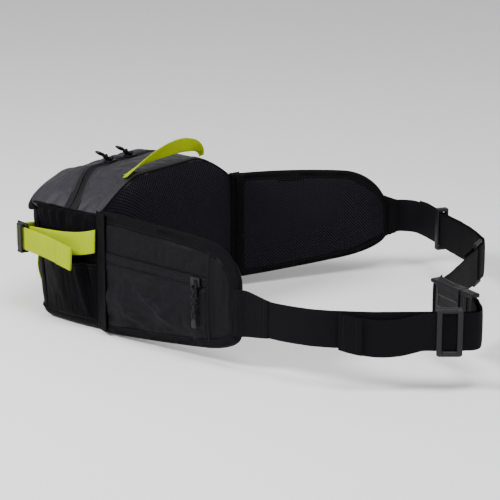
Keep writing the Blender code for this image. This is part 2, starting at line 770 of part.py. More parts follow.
def build_belt_right():
    """Right webbing: out to the buckle's male half, round its bar and back as the tail."""
    start, along = anchor_end("right")
    bar = Vector((*BUCKLE_END, BELT_Z))
    glide = Vector((*TRIGLIDE_RIGHT, BELT_Z))
    direction = Vector((*TRIGLIDE_HEADING, 0)).normalized()
    right = Vector((direction.y, -direction.x, 0))
    radius = LAYER_STEP / 2
    glide_in = glide - right * radius
    main = interpolate_bezier(start, start + along * 0.065, glide_in - direction * 0.060,
                              glide_in - direction * 0.013, 10)
    arrival = Vector((-0.80, -0.60, 0))
    at_bar = bar - Vector((arrival.y, -arrival.x, 0)) * radius
    lead_out = glide_in + direction * 0.013
    loop = interpolate_bezier(lead_out, lead_out + direction * 0.022, at_bar - arrival * 0.026, at_bar, 10)
    main = list(main) + list(loop)
    turn = half_turn(at_bar, arrival, radius)
    outer = list(reversed(offset_plan(main, LAYER_STEP)))
    tail = outer[:-4]
    hanging = tail[len(loop) + 1:]
    for i, point in enumerate(hanging):
        point.z -= TAIL_SAG * math.sin(math.pi * (i + 1) / len(hanging))
    path = main + turn + tail
    add_ribbon("belt_strap_right", path, BELT_WIDTH, WEBBING, "black_webbing", origin=start)

    cuts = ([-11.7, -8.5, -BAR, BAR, 8.5, 11.7], [-24, -20.2, 20.2, 24], [-BAR, BAR, 3.9, 6.2])

    def solid(a, up, out):
        if abs(up) > 20.2:
            return True
        if abs(a) < BAR:
            return out < BAR
        return abs(a) > 8.5 and out > 3.9

    add_cells("triglide_right", bar_frame(glide, direction), cuts, solid, "black_acetal", glide)


def buckle_frame():
    """Frame of the buckle: from the female half's bar to the male half's, up, outward."""
    start, end = Vector(BUCKLE_START), Vector(BUCKLE_END)
    return bar_frame(start, end - start)


BUCKLE_BAR_GAP = 64.8


def build_buckle():
    """Side-release buckle: a hollow female half, a male half and its two sprung prongs."""
    frame = buckle_frame()
    centre = frame.translation
    a_cuts = [-BAR, BAR, 7.8, 11, 20.5, 34.5, 46]
    b_cuts = [-24, -20, 20, 24]
    c_cuts = [-6, -4.2, -BAR, BAR, 4.2, 6]

    def female(a, up, out):
        if a < BAR:
            return abs(up) > 20 or abs(out) < BAR
        if a < 7.8:
            return abs(up) > 20
        if a < 11:
            return True
        if abs(up) > 20:
            return abs(out) > 4.2 or not 20.5 < a < 34.5
        return abs(out) > 4.2

    add_cells("buckle_female", frame, (a_cuts, b_cuts, c_cuts), female, "black_acetal", centre)

    bar = BUCKLE_BAR_GAP
    male_cuts = ([25, 46.5, 57, bar - BAR, bar + BAR], [-24, -20, -5, 5, 20, 24],
                 [-5, -BAR, BAR, 5])

    def male(a, up, out):
        if a < 46.5:
            return abs(up) < 5 and abs(out) < BAR
        if a < 57:
            return True
        if a < bar - BAR:
            return abs(up) > 20
        return abs(up) > 20 or abs(out) < BAR

    male_origin = frame @ Vector((bar * MM, 0, 0))
    add_cells("buckle_male", frame, male_cuts, male, "black_acetal", male_origin)

    for name, side in (("upper", 1), ("lower", -1)):
        head, root = (22.0, 29.5), 46.2
        b_values = sorted(side * b for b in (12.5, 16.0, 23.4))
        cuts = ([head[0], head[1], root], b_values, [-2.6, 2.6])
        pivot = frame @ Vector((root * MM, side * 14.2 * MM, 0))

        def prong(a, up, out):
            return a < head[1] or abs(up) < 16.0

        add_cells(f"buckle_prong_{name}", frame, cuts, prong, "black_acetal", pivot)


def build_belt_left():
    """Left webbing: a front piece on the buckle and a rear piece, adjusted at a tri-glide."""
    glide = Vector((*TRIGLIDE_LEFT, BELT_Z))
    buckle_bar = Vector((*BUCKLE_START, BELT_Z))
    radius = LAYER_STEP / 2
    direction = (buckle_bar - glide).normalized()
    frame = bar_frame(glide, direction)
    mid, near = -8.6, 1.0
    cuts = ([-20, -17.4, mid - BAR, mid + BAR, near - BAR, near + BAR], [-24, -20.2, 20.2, 24], [-BAR, BAR])

    def solid(a, up, out):
        return abs(up) > 20.2 or a < -17.4 or abs(a - mid) < BAR or abs(a - near) < BAR

    add_cells("triglide_left", frame, cuts, solid, "black_acetal", glide)

    right = Vector((direction.y, -direction.x, 0))
    near_bar = glide + direction * 0.001
    lead = near_bar - right * radius
    run_end = buckle_bar - right * radius
    run = [lead + (run_end - lead) * t for t in spread(0.04, 1, 6)]
    first_turn = [near_bar + (right * math.cos(a) - direction * math.sin(a)) * radius
                  for a in spread(0, math.pi, 7)]
    short = near_bar + right * radius + direction * 0.026
    last_turn = half_turn(run_end, direction, radius)
    back = buckle_bar + right * radius
    path = [short, *first_turn, *run, *last_turn, back, back - direction * 0.028]
    add_ribbon("belt_strap_left_front", path, BELT_WIDTH, WEBBING, "black_webbing", origin=buckle_bar)

    start, along = anchor_end("left")
    centre_bar = glide - direction * 0.0086
    keeper = Vector((*KEEPER, BELT_Z))
    end_in = centre_bar + right * radius
    through = Vector((0.52, 0.85, 0))
    middle = interpolate_bezier(start, start + along * 0.024, keeper - through * 0.036, keeper, 9)
    approach = interpolate_bezier(keeper, keeper + through * 0.030, end_in - direction * 0.040,
                                  end_in - direction * 0.013, 9)
    main = list(middle[:-1]) + list(approach) + [end_in]
    turn = [centre_bar + (right * math.cos(a) + direction * math.sin(a)) * radius
            for a in spread(0, math.pi, 7)][1:-1]
    outer = list(reversed(offset_plan(main, -LAYER_STEP)))
    tail = outer[:14]
    path = main + turn + tail
    add_ribbon("belt_strap_left_rear", path, BELT_WIDTH, WEBBING, "black_webbing", origin=start)

    heading = (approach[1] - middle[-2]).normalized()
    mid_layers = keeper + Vector((-heading.y, heading.x, 0)) * radius
    cuts = ([-4, 4], [-24, -20.5, 20.5, 24], [-6.6, -4.4, 4.4, 6.6])
    add_cells("strap_keeper", bar_frame(mid_layers, heading), cuts,
              lambda a, up, out: abs(up) > 20.5 or abs(out) > 4.4, "black_acetal", mid_layers)


def main():
    """Build the whole pack."""
    clear_scene()
    make_materials()
    build_front_panel()
    build_base()
    build_top()
    build_back()
    build_main_sliders()
    build_handle()
    for name, side in (("right", 1), ("left", -1)):
        build_side(name, side)
        build_side_strap(name, side)
        build_wing(name)
    build_belt_right()
    build_buckle()
    build_belt_left()


main()
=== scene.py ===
"""Waist pack: the looks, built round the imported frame. Metres, +Z up; right is +X, the belt is at +Y."""

import math

import bpy
import numpy as np
from mathutils import Matrix, Vector
from mathutils.bvhtree import BVHTree
from mathutils.geometry import interpolate_bezier


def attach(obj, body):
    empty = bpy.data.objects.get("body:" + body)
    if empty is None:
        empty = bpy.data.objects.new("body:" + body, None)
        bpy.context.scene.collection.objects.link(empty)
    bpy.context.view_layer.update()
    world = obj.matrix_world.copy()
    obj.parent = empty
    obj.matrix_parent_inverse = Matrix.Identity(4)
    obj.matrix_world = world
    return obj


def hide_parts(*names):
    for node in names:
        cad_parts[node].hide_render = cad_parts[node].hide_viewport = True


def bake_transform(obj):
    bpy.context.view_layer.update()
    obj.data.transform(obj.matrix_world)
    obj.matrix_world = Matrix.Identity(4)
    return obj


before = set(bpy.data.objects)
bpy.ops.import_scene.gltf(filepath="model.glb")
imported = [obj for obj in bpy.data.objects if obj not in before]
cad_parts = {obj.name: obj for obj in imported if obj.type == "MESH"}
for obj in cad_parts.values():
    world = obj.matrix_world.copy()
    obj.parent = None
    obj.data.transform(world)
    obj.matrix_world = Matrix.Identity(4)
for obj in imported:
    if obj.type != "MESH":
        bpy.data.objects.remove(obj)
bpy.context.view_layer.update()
MM = 0.001
UP = np.array([0.0, 0.0, 1.0])

# ---------------------------------------------------------------- bag shape, as in the CAD

HALF_WIDTH = 0.108
BACK_Y = 0.045
SIDE_HEIGHT = 0.128
CROWN_RISE = 0.0325
CROWN_FLAT = 0.045
CORNER_RADIUS = 0.018
FLOOR_RADIUS = 0.012
ZIP_Y = -0.018
ZIP_END_Y = 0.003
ZIP_BAND = 0.010
WING = {
    "right": {
        "side": 1, "root": (0.107, 0.049), "tip": (0.112, 0.240),
        "bottom": (0.003, 0.023), "top": (0.131, 0.124), "tip_radius": 0.045, "anchor": 0.036,
    },
    "left": {
        "side": -1, "root": (-0.107, 0.049), "tip": (-0.277, 0.145),
        "bottom": (0.012, 0.027), "top": (0.129, 0.112), "tip_radius": 0.055, "anchor": 0.014,
    },
}
WING_LENGTH = 0.190
WING_ZIP_Z = 0.086
WING_SLIDER_S = 0.140
BELT_Z = 0.062
BELT_WIDTH = 0.038
LAYER_STEP = 0.0054
LIME_WIDTH = 0.025
LIME_THICK = 0.0015
SKIN = 0.0009
WALL_CLOTH = 0.0014
LOCK_PLACE = (0.1105, -0.0570, 0.085)
STRAP_HEADING = (-0.25, -0.97, 0)
MAIN_PULL_X = {"right": 0.020, "left": -0.012}
SIDES = (("right", 1), ("left", -1))


def floor_inset(z):
    """How far the walls draw in towards the rounded bottom edge."""
    drop = np.maximum(0.0, FLOOR_RADIUS - np.asarray(z, float))
    return FLOOR_RADIUS - np.sqrt(np.maximum(0.0, FLOOR_RADIUS**2 - drop**2))


def front_y(x, z):
    """The front wall in plan at a height: bowed forward, leaning out towards its top."""
    bow = 0.014 * (1 - (x / HALF_WIDTH) ** 2)
    lean = 0.014 * (np.minimum(z, SIDE_HEIGHT) / SIDE_HEIGHT) ** 1.5
    return -0.044 - lean - bow + floor_inset(z)


def corner_point(degrees, z, inset=0.0):
    """A point of the front right corner in plan; 0 degrees faces the front and 90 the side."""
    straight = HALF_WIDTH - CORNER_RADIUS
    radius = CORNER_RADIUS - floor_inset(z)
    centre_y = front_y(straight, z) + radius
    radius = radius - inset
    turn = math.radians(degrees)
    return straight + radius * math.sin(turn), centre_y - radius * math.cos(turn)


def crown(x, y):
    """Height of the bag's top."""
    slope = 0.004 * (y - BACK_Y) / 0.1
    fall = 1 - 0.5 * (np.maximum(0.0, -0.01 - y) / 0.065) ** 2
    out = np.maximum(0.0, np.abs(x) - CROWN_FLAT) / (HALF_WIDTH - CROWN_FLAT)
    return SIDE_HEIGHT + slope + CROWN_RISE * (1 - np.minimum(out, 1.0) ** 1.5) * fall


def top_front_y(x):
    """The top's front edge in plan, round both corners."""
    straight = HALF_WIDTH - CORNER_RADIUS
    over = np.maximum(0.0, np.abs(x) - straight)
    at = np.minimum(np.abs(x), straight)
    return front_y(at, SIDE_HEIGHT) + CORNER_RADIUS - np.sqrt(np.maximum(0.0, CORNER_RADIUS**2 - over**2))


def zip_y(x):
    """The zip in plan, curving back at its two ends."""
    out = np.clip((np.abs(x) - CROWN_FLAT) / (HALF_WIDTH - CROWN_FLAT), 0, 1)
    return ZIP_Y + (ZIP_END_Y - ZIP_Y) * out * out * (3 - 2 * out)


def side_x(u, z):
    """The side wall's distance from the middle, u of the way from front to back."""
    return HALF_WIDTH - floor_inset(z) + 0.003 * np.sin(math.pi * u)


# ---------------------------------------------------------------- small maths


def unit(v):
    v = np.asarray(v, float)
    return v / np.maximum(np.linalg.norm(v, axis=-1, keepdims=True), 1e-12)


def smooth_step(low, high, x):
    t = np.clip((np.asarray(x, float) - low) / (high - low), 0, 1)
    return t * t * (3 - 2 * t)


def distances(path):
    """How far each point of a path is from its start, along the path."""
    return np.concatenate([[0], np.cumsum(np.linalg.norm(np.diff(path, axis=0), axis=1))])


def read_along(s, gone, values):
    """Rows of values at the distances s, between the rows given at the distances gone."""
    return np.stack([np.interp(s, gone, values[:, k]) for k in range(values.shape[1])], -1)


def lattice(cell, seed):
    """A repeatable value from -1 to 1 for each whole-number cell."""
    h = (cell[..., 0] * 374761393 + cell[..., 1] * 668265263 + cell[..., 2] * 1274126177 + seed * 974634777)
    h &= 0xFFFFFFFF
    h = ((h ^ (h >> 13)) * 1274126177) & 0xFFFFFFFF
    return ((h ^ (h >> 16)) & 0xFFFF) / 32767.5 - 1.0


def noise(points, size, seed=0):
    """Smooth noise from -1 to 1, with features about size across; size may differ by axis."""
    q = np.asarray(points, float) / np.asarray(size, float)
    if q.shape[-1] == 2:
        q = np.concatenate([q, np.zeros(q.shape[:-1] + (1,))], axis=-1)
    base = np.floor(q).astype(np.int64)
    f = q - base
    f = f * f * f * (f * (f * 6 - 15) + 10)
    total = np.zeros(q.shape[:-1])
    for corner in np.ndindex(2, 2, 2):
        c = np.array(corner)
        weight = np.prod(np.where(c == 1, f, 1 - f), axis=-1)
        total += weight * lattice(base + c, seed)
    return total


def crease(points, size, seed=0):
    """Noise with sharp valleys and round tops, like crumpled cloth; from -1 to 1."""
    return 2 * np.sqrt(np.abs(noise(points, size, seed))) - 1


def ridge(u, v, start, end, width):
    """1 along a line from start to end in a flat space, falling to 0 at width beside it."""
    a, b = np.array(start, float), np.array(end, float)
    p = np.stack([u, v], axis=-1)
    t = np.clip(((p - a) @ (b - a)) / ((b - a) @ (b - a)), 0, 1)
    gone = np.linalg.norm(p - (a + t[..., None] * (b - a)), axis=-1)
    return np.exp(-((gone / width) ** 2)) * np.sin(math.pi * np.clip(t * 0.92 + 0.04, 0, 1)) ** 0.5


# ---------------------------------------------------------------- materials


class Graph:
    """Short names for building a node tree."""

    def __init__(self, material):
        self.tree = material.node_tree

    def node(self, kind, **settings):
        made = self.tree.nodes.new(kind)
        for key, value in settings.items():
            setattr(made, key, value)
        return made

    def put(self, value, socket):
        """Link a socket, or set a plain value."""
        if isinstance(value, bpy.types.NodeSocket):
            self.tree.links.new(value, socket)
        else:
            socket.default_value = value

    def math(self, operation, a, b=0.0, c=0.0):
        made = self.node("ShaderNodeMath", operation=operation)
        for socket, value in zip(made.inputs, (a, b, c)):
            self.put(value, socket)
        return made.outputs[0]

    def uv(self):
        """The cloth's own coordinates in metres: along and across."""
        split = self.node("ShaderNodeSeparateXYZ")
        self.tree.links.new(self.node("ShaderNodeUVMap", uv_map="cloth").outputs[0], split.inputs[0])
        return split.outputs[0], split.outputs[1]

    def wave(self, value, period, offset=0.0):
        """A sine of a length in metres, from -1 to 1."""
        return self.math("SINE", self.math("MULTIPLY_ADD", value, 2 * math.pi / period, offset))

    def noise(self, scale, detail=3.0, roughness=0.55, stretch=None):
        """Noise that keeps to the object."""
        place = self.node("ShaderNodeTexCoord").outputs["Object"]
        if stretch:
            mapping = self.node("ShaderNodeMapping")
            mapping.inputs["Scale"].default_value = stretch
            self.tree.links.new(place, mapping.inputs["Vector"])
            place = mapping.outputs[0]
        made = self.node("ShaderNodeTexNoise")
        self.tree.links.new(place, made.inputs["Vector"])
        made.inputs["Scale"].default_value = scale
        made.inputs["Detail"].default_value = detail
        made.inputs["Roughness"].default_value = roughness
        return made.outputs["Fac"]

    def map(self, value, low, high, new_low, new_high):
        """A value from one range to another."""
        made = self.node("ShaderNodeMapRange")
        for socket, number in zip(made.inputs, (value, low, high, new_low, new_high)):
            self.put(number, socket)
        return made.outputs[0]

    def blend(self, share, first, second):
        """A mix of two colours."""
        made = self.node("ShaderNodeMix", data_type="RGBA")
        self.put(share, made.inputs["Factor"])
        for name, color in (("A", first), ("B", second)):
            socket = [s for s in made.inputs if s.name == name and s.type == "RGBA"][0]
            self.put(color if isinstance(color, bpy.types.NodeSocket) else (*color, 1.0), socket)
        return [s for s in made.outputs if s.type == "RGBA"][0]

    def paint(self, shader, share, color, dark, light):
        """Base colour between a darker and a lighter tone of one colour."""
        tones = [tuple(c * tone for c in color) for tone in (dark, light)]
        self.put(self.blend(share, *tones), shader.inputs["Base Color"])

    def bump(self, height, distance, strength=1.0, under=None):
        """A normal from a height, on top of another normal."""
        made = self.node("ShaderNodeBump")
        self.put(height, made.inputs["Height"])
        made.inputs["Distance"].default_value = distance
        made.inputs["Strength"].default_value = strength
        if under:
            self.tree.links.new(under, made.inputs["Normal"])
        return made.outputs[0]


def new_material(name, roughness, specular):
    """A material, its graph and its shader."""
    material = bpy.data.materials.new(name)
    material.use_nodes = True
    shader = material.node_tree.nodes["Principled BSDF"]
    shader.inputs["Roughness"].default_value = roughness
    shader.inputs["Specular IOR Level"].default_value = specular
    return material, Graph(material), shader


def ripstop(name, color, thread=0.0011, grid=0.0055, roughness=0.62, specular=0.14):
    """Coated plain-weave nylon with a faint reinforcing grid."""
    material, g, shader = new_material(name, roughness, specular)
    u, v = g.uv()
    weave = g.math("MULTIPLY", g.wave(u, thread), g.wave(v, thread))
    ribs = g.wave(v, thread * 1.5)
    line_u = g.map(g.wave(u, grid), 0.93, 1.0, 0.0, 1.0)
    line_v = g.map(g.wave(v, grid), 0.93, 1.0, 0.0, 1.0)
    lines = g.math("MAXIMUM", line_u, line_v)
    cloud = g.noise(28.0, 4.0)
    crumple = g.noise(160.0, 5.0, 0.6)
    shade = g.math("ADD", g.math("MULTIPLY", cloud, 0.55), g.math("MULTIPLY", crumple, 0.35))
    shade = g.math("MULTIPLY_ADD", weave, 0.10, shade)
    shade = g.math("MULTIPLY_ADD", lines, 0.16, shade)
    g.paint(shader, g.map(shade, 0.15, 0.85, 0.0, 1.0), color, 0.72, 1.35)
    height = g.math("MULTIPLY_ADD", weave, 0.35, g.math("MULTIPLY", ribs, 0.35))
    height = g.math("MULTIPLY_ADD", lines, 0.7, height)
    fine = g.bump(height, 0.00012, 0.7)
    g.put(g.bump(crumple, 0.0011, 0.55, fine), shader.inputs["Normal"])
    g.put(g.map(crumple, 0.3, 0.7, roughness - 0.07, roughness + 0.07), shader.inputs["Roughness"])
    return material


def webbing(name, color, rib=0.0014, roughness=0.72, contrast=1.0, specular=0.10):
    """Woven webbing: ribs across, two-thread columns along."""
    material, g, shader = new_material(name, roughness, specular)
    u, v = g.uv()
    columns = g.wave(v, 0.0019)
    shift = g.map(columns, -0.15, 0.15, 0.0, math.pi)
    ribs = g.math("SINE", g.math("ADD", g.math("MULTIPLY", u, 2 * math.pi / rib), shift))
    grooves = g.math("ABSOLUTE", columns)
    grain = g.noise(900.0, 3.0)
    cloud = g.noise(35.0, 3.0)
    shade = g.math("MULTIPLY_ADD", ribs, 0.22 * contrast, 0.5)
    shade = g.math("MULTIPLY_ADD", grooves, 0.25 * contrast, shade)
    shade = g.math("MULTIPLY_ADD", cloud, 0.35, shade)
    shade = g.math("MULTIPLY_ADD", grain, 0.30, shade)
    g.paint(shader, g.map(shade, 0.3, 1.2, 0.0, 1.0), color, 0.62, 1.22)
    height = g.math("MULTIPLY_ADD", ribs, 0.5, grooves)
    first = g.bump(height, 0.00022, 0.8)
    g.put(g.bump(grain, 0.0003, 0.35, first), shader.inputs["Normal"])
    return material


MESH_PITCH = 0.0038


def spacer_mesh(name, color, hole_shade_color):
    """Knitted 3-D mesh: rows of round holes, each row set half a step from the last, with painted shade in
    the holes.
    """
    material, g, shader = new_material(name, 0.78, 0.09)
    u, v = g.uv()
    quarter = math.pi / 2
    holes = g.math("MULTIPLY", g.wave(u, MESH_PITCH, quarter), g.wave(v, MESH_PITCH, quarter))
    inside = g.map(holes, 0.04, 0.34, 0.0, 1.0)
    knit = g.math("MULTIPLY", g.wave(u, 0.0007), g.wave(v, 0.0005))
    grain = g.noise(700.0, 3.0)
    tones = [tuple(c * tone for c in color) for tone in (0.75, 1.4)]
    yarn = g.blend(g.map(grain, 0.3, 0.7, 0.0, 1.0), *tones)
    # The holes are painted almost black: painted shade in the mesh's recesses.
    g.put(g.blend(inside, yarn, hole_shade_color), shader.inputs["Base Color"])
    fine = g.bump(g.math("MULTIPLY_ADD", knit, 0.4, grain), 0.00018, 0.7)
    g.put(g.bump(g.math("MULTIPLY", holes, -1.0), 0.0007, 0.9, fine), shader.inputs["Normal"])
    return material


def moulded_plastic(name, color, roughness=0.42):
    """Moulded or drawn nylon: fine grain, and a gloss that varies a little."""
    material, g, shader = new_material(name, roughness, 0.25)
    grain = g.noise(1400.0, 2.0)
    smudge = g.noise(60.0, 4.0)
    g.paint(shader, smudge, color, 0.85, 1.2)
    g.put(g.map(smudge, 0.3, 0.7, roughness - 0.06, roughness + 0.10), shader.inputs["Roughness"])
    g.put(g.bump(grain, 0.0002, 0.35), shader.inputs["Normal"])
    return material


def braid(name, color):
    """Braided cord: crossing diagonal strands."""
    material, g, shader = new_material(name, 0.5, 0.2)
    u, v = g.uv()
    one = g.wave(g.math("ADD", u, v), 0.0011)
    two = g.wave(g.math("SUBTRACT", u, v), 0.0011)
    strands = g.math("MAXIMUM", one, two)
    g.paint(shader, g.map(strands, -0.4, 1.0, 0.0, 1.0), color, 0.4, 1.8)
    g.put(g.bump(strands, 0.0003, 0.9), shader.inputs["Normal"])
    return material


def thread(name, color):
    """Sewing thread with a light twist."""
    material, g, shader = new_material(name, 0.6, 0.12)
    twist = g.noise(2500.0, 2.0, stretch=(1, 1, 0.4))
    g.paint(shader, twist, color, 0.7, 1.3)
    g.put(g.bump(twist, 0.0002, 0.5), shader.inputs["Normal"])
    return material


def zip_cloth(name, color):
    """Flat zip tape: fine ribs across the tape."""
    material, g, shader = new_material(name, 0.55, 0.16)
    u, v = g.uv()
    ribs = g.math("MULTIPLY", g.wave(u, 0.0009), g.wave(v, 0.0013))
    grain = g.noise(500.0, 3.0)
    g.paint(shader, g.map(grain, 0.3, 0.7, 0, 1), color, 0.8, 1.25)
    g.put(g.bump(ribs, 0.00015, 0.8), shader.inputs["Normal"])
    return material


def floor_material():
    """Pale, almost plain."""
    material, g, shader = new_material("pale_floor", 0.9, 0.1)
    soft = g.noise(2.0, 2.0)
    g.put(g.blend(soft, (0.86, 0.86, 0.86), (0.88, 0.88, 0.88)), shader.inputs["Base Color"])
    return material


BLACK = ripstop("black_cloth", (0.0028, 0.0027, 0.0038), specular=0.09)
DARK = ripstop("side_cloth", (0.0010, 0.0009, 0.0014), specular=0.04, roughness=0.55)
POCKET_CLOTH = ripstop("pocket_cloth", (0.0024, 0.0022, 0.0037), 0.0009, 0.003, 0.60, specular=0.10)
GREY = ripstop("grey_cloth", (0.0150, 0.0142, 0.0192), 0.0009, 0.0042, 0.50, specular=0.26)
# The second colour is the painted shade in the mesh's holes.
MESH = spacer_mesh("air_mesh_knit", (0.0098, 0.0094, 0.0138), (0.0004, 0.0004, 0.0006))
BELT = webbing("black_belt_webbing", (0.0026, 0.0025, 0.0033), specular=0.07)
BINDING = webbing("black_binding_tape", (0.0024, 0.0023, 0.0030), 0.0009, 0.6, 0.6, 0.06)
LIME = webbing("lime_strap_webbing", (0.30, 0.385, 0.0008), rib=0.0011, contrast=0.55, specular=0.04)
TAPE = zip_cloth("zip_tape_cloth", (0.0038, 0.0037, 0.0050))
COIL = moulded_plastic("zip_nylon", (0.0050, 0.0050, 0.0060), 0.38)
ACETAL = moulded_plastic("black_moulding", (0.0046, 0.0045, 0.0056))
CORD = braid("pull_braid", (0.0036, 0.0035, 0.0044))
THREAD = thread("black_thread", (0.009, 0.009, 0.011))
LIME_THREAD = thread("lime_thread", (0.40, 0.45, 0.01))


# ---------------------------------------------------------------- mesh tools

CUTS = {}


def make_mesh(name, verts, faces, uvs, material, smooth=True):
    """Link a mesh; uvs is one pair for each vertex, or for each corner of each face."""
    mesh = bpy.data.meshes.new(name)
    mesh.from_pydata([tuple(v) for v in np.asarray(verts, float)], [], faces)
    if uvs is not None:
        uvs = np.asarray(uvs, float)
        layer = mesh.uv_layers.new(name="cloth")
        if len(uvs) == len(mesh.vertices) and len(uvs) != len(mesh.loops):
            corner = np.empty(len(mesh.loops), int)
            mesh.loops.foreach_get("vertex_index", corner)
            uvs = uvs[corner]
        layer.data.foreach_set("uv", uvs.astype(np.float32).ravel())
    mesh.materials.append(material)
    if smooth:
        mesh.shade_smooth()
    obj = bpy.data.objects.new(name, mesh)
    bpy.context.collection.objects.link(obj)
    return obj


def finish_blend(obj, first, second, start, end, *nodes):
    """Like finish_piece, but the piece rides on no body: its transform is baked where it stands. first,
    second, start and end are not used.
    """
    if nodes:
        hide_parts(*nodes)
    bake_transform(obj)
    return obj


def finish_piece(obj, body, *nodes):
    """Ride on a body, and stand for CAD nodes."""
    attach(obj, body)
    if nodes:
        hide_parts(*nodes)
    return obj


def grid_normals(grid):
    return unit(np.cross(np.gradient(grid, axis=0), np.gradient(grid, axis=1)))


def grid_lengths(grid):
    """Distances along both ways of a grid, for a weave that keeps its scale."""
    du = np.linalg.norm(np.diff(grid, axis=0), axis=2).mean(axis=1)
    dv = np.linalg.norm(np.diff(grid, axis=1), axis=2).mean(axis=0)
    u = np.concatenate([[0], np.cumsum(du)])
    v = np.concatenate([[0], np.cumsum(dv)])
    return np.stack(np.broadcast_arrays(u[:, None], v[None, :]), axis=-1)


def shell(name, grid, thick, material, uv=None):
    """A cloth with thickness: grid is its outer face, and its normals face out."""
    grid = np.asarray(grid, float)
    rows, cols = grid.shape[:2]
    inner = grid - grid_normals(grid) * thick
    uv = grid_lengths(grid) if uv is None else uv
    verts = np.concatenate([grid.reshape(-1, 3), inner.reshape(-1, 3)])
    uvs = np.concatenate([uv.reshape(-1, 2)] * 2)
    at = np.arange(rows * cols).reshape(rows, cols)
    back = at + rows * cols
    quads = [np.stack([at[:-1, :-1], at[1:, :-1], at[1:, 1:], at[:-1, 1:]], -1).reshape(-1, 4)]
    quads.append(np.stack([back[:-1, :-1], back[:-1, 1:], back[1:, 1:], back[1:, :-1]], -1).reshape(-1, 4))
    rim = np.concatenate([at[:, 0], at[-1, 1:], at[-2::-1, -1], at[0, -2:0:-1]])
    follow = np.roll(rim, -1)
    quads.append(np.stack([rim, rim + rows * cols, follow + rows * cols, follow], -1))
    faces = np.concatenate(quads)
    width, length = np.ptp(uv[..., 0]), np.ptp(uv[..., 1])
    a, b = uv[1:, 1:] - uv[:-1, :-1], uv[1:, :-1] - uv[:-1, 1:]
    area = float(np.abs(a[..., 0] * b[..., 1] - a[..., 1] * b[..., 0]).sum() / 2)
    CUTS[name] = (float(width), float(length), min(area, float(width * length)))
    return make_mesh(name, verts, faces.tolist(), uvs, material)


def tangents(path):
    return unit(np.gradient(path, axis=0))


def resample(path, step):
    """Points at an even spacing along a path."""
    path = np.asarray([tuple(p) for p in path], float)
    gone = distances(path)
    keep = np.concatenate([[True], np.diff(gone) > 1e-9])
    count = max(3, int(round(gone[-1] / step)) + 1)
    s = np.linspace(0, gone[-1], count)
    return read_along(s, gone[keep], path[keep]), s


def relax(path, passes):
    """Smooth a path's points, ends held."""
    path = np.array(path, float)
    for _ in range(passes):
        path[1:-1] = path[1:-1] * 0.5 + (path[:-2] + path[2:]) * 0.25
    return path


def sweep(name, path, side, face, profile, material, closed=False, smooth=True):
    """Carry a closed profile along a path. side and face are its axes at each point."""
    path, profile = np.asarray(path, float), np.asarray(profile, float)
    count = len(path)
    if profile.ndim == 2:
        profile = np.broadcast_to(profile, (count, *profile.shape))
    m = profile.shape[1]
    rings = path[:, None] + side[:, None] * profile[..., 0:1] + face[:, None] * profile[..., 1:2]
    gone = distances(path)
    loop = np.concatenate([profile, profile[:, :1]], axis=1)
    around = np.cumsum(np.linalg.norm(np.diff(loop, axis=1), axis=2), axis=1).mean(axis=0)
    around = np.concatenate([[0], around])
    faces, uvs = [], []
    last = count if closed else count - 1
    for i in range(last):
        j = (i + 1) % count
        u0, u1 = gone[i], gone[i] + (gone[1] if closed and j == 0 else gone[j] - gone[i])
        for k in range(m):
            n = (k + 1) % m
            faces.append([i * m + k, j * m + k, j * m + n, i * m + n])
            a, b = around[k], around[k + 1]
            uvs += [(u0, a), (u1, a), (u1, b), (u0, b)]
    if not closed:
        faces.append(list(range(m)))
        uvs += [(0, 0)] * m
        faces.append([(count - 1) * m + k for k in reversed(range(m))])
        uvs += [(0, 0)] * m
    return make_mesh(name, rings.reshape(-1, 3), faces, uvs, material, smooth)


def round_profile(width, thick, points=24, square=0.35):
    """A flat section with round edges."""
    a = -np.linspace(0, 2 * math.pi, points, endpoint=False)
    c, s = np.cos(a), np.sin(a)
    return np.stack([np.sign(c) * np.abs(c) ** square * width / 2,
                     np.sign(s) * np.abs(s) ** 0.6 * thick / 2], -1)


def ribbon(name, path, width, thick, material, across=None, step=0.0015, ripple=0.0, seed=1, smoothing=3):
    """Flat webbing along a path. across is its width direction at each given point."""
    given = np.asarray([tuple(p) for p in path], float)
    ways = np.broadcast_to(UP, given.shape)
    if across is not None:
        ways = np.asarray([tuple(a) for a in across], float)
    widths = np.broadcast_to(np.asarray(width, float), (len(given),))[:, None]
    gone = distances(given)
    count = max(4, int(round(gone[-1] / step)) + 1)
    s = np.linspace(0, gone[-1], count)
    points = relax(read_along(s, gone, given), smoothing)
    widths = read_along(s, gone, widths)[:, 0]
    along = tangents(points)
    side = unit(read_along(s, gone, ways))
    face = unit(np.cross(along, side))
    profile = round_profile(1.0, 1.0)
    profile = np.broadcast_to(profile, (count, *profile.shape)).copy()
    profile[..., 0] *= widths[:, None]
    profile[..., 1] *= thick
    if ripple:
        line = np.stack([s, np.zeros(count)], -1)
        wave = noise(line, (0.012, 1), seed) * ripple
        profile[..., 1] += wave[:, None] * (profile[..., 0] / widths[:, None] * 2) ** 2
        points = points + face * (noise(line, (0.03, 1), seed + 9) * ripple)[:, None]
    length = float(np.linalg.norm(np.diff(points, axis=0), axis=1).sum())
    CUTS[name] = (float(widths.max()), length, float(widths.mean() * length))
    return sweep(name, points, side, face, profile, material)


def transport(path):
    """Two axes square to a path that don't twist."""
    along = tangents(path)
    first = np.cross(along[0], UP)
    if np.linalg.norm(first) < 0.2:
        first = np.cross(along[0], [1.0, 0, 0])
    sides = [unit(first)]
    for t in along[1:]:
        moved = sides[-1] - t * (sides[-1] @ t)
        sides.append(unit(moved))
    sides = np.array(sides)
    return sides, np.cross(along, sides)


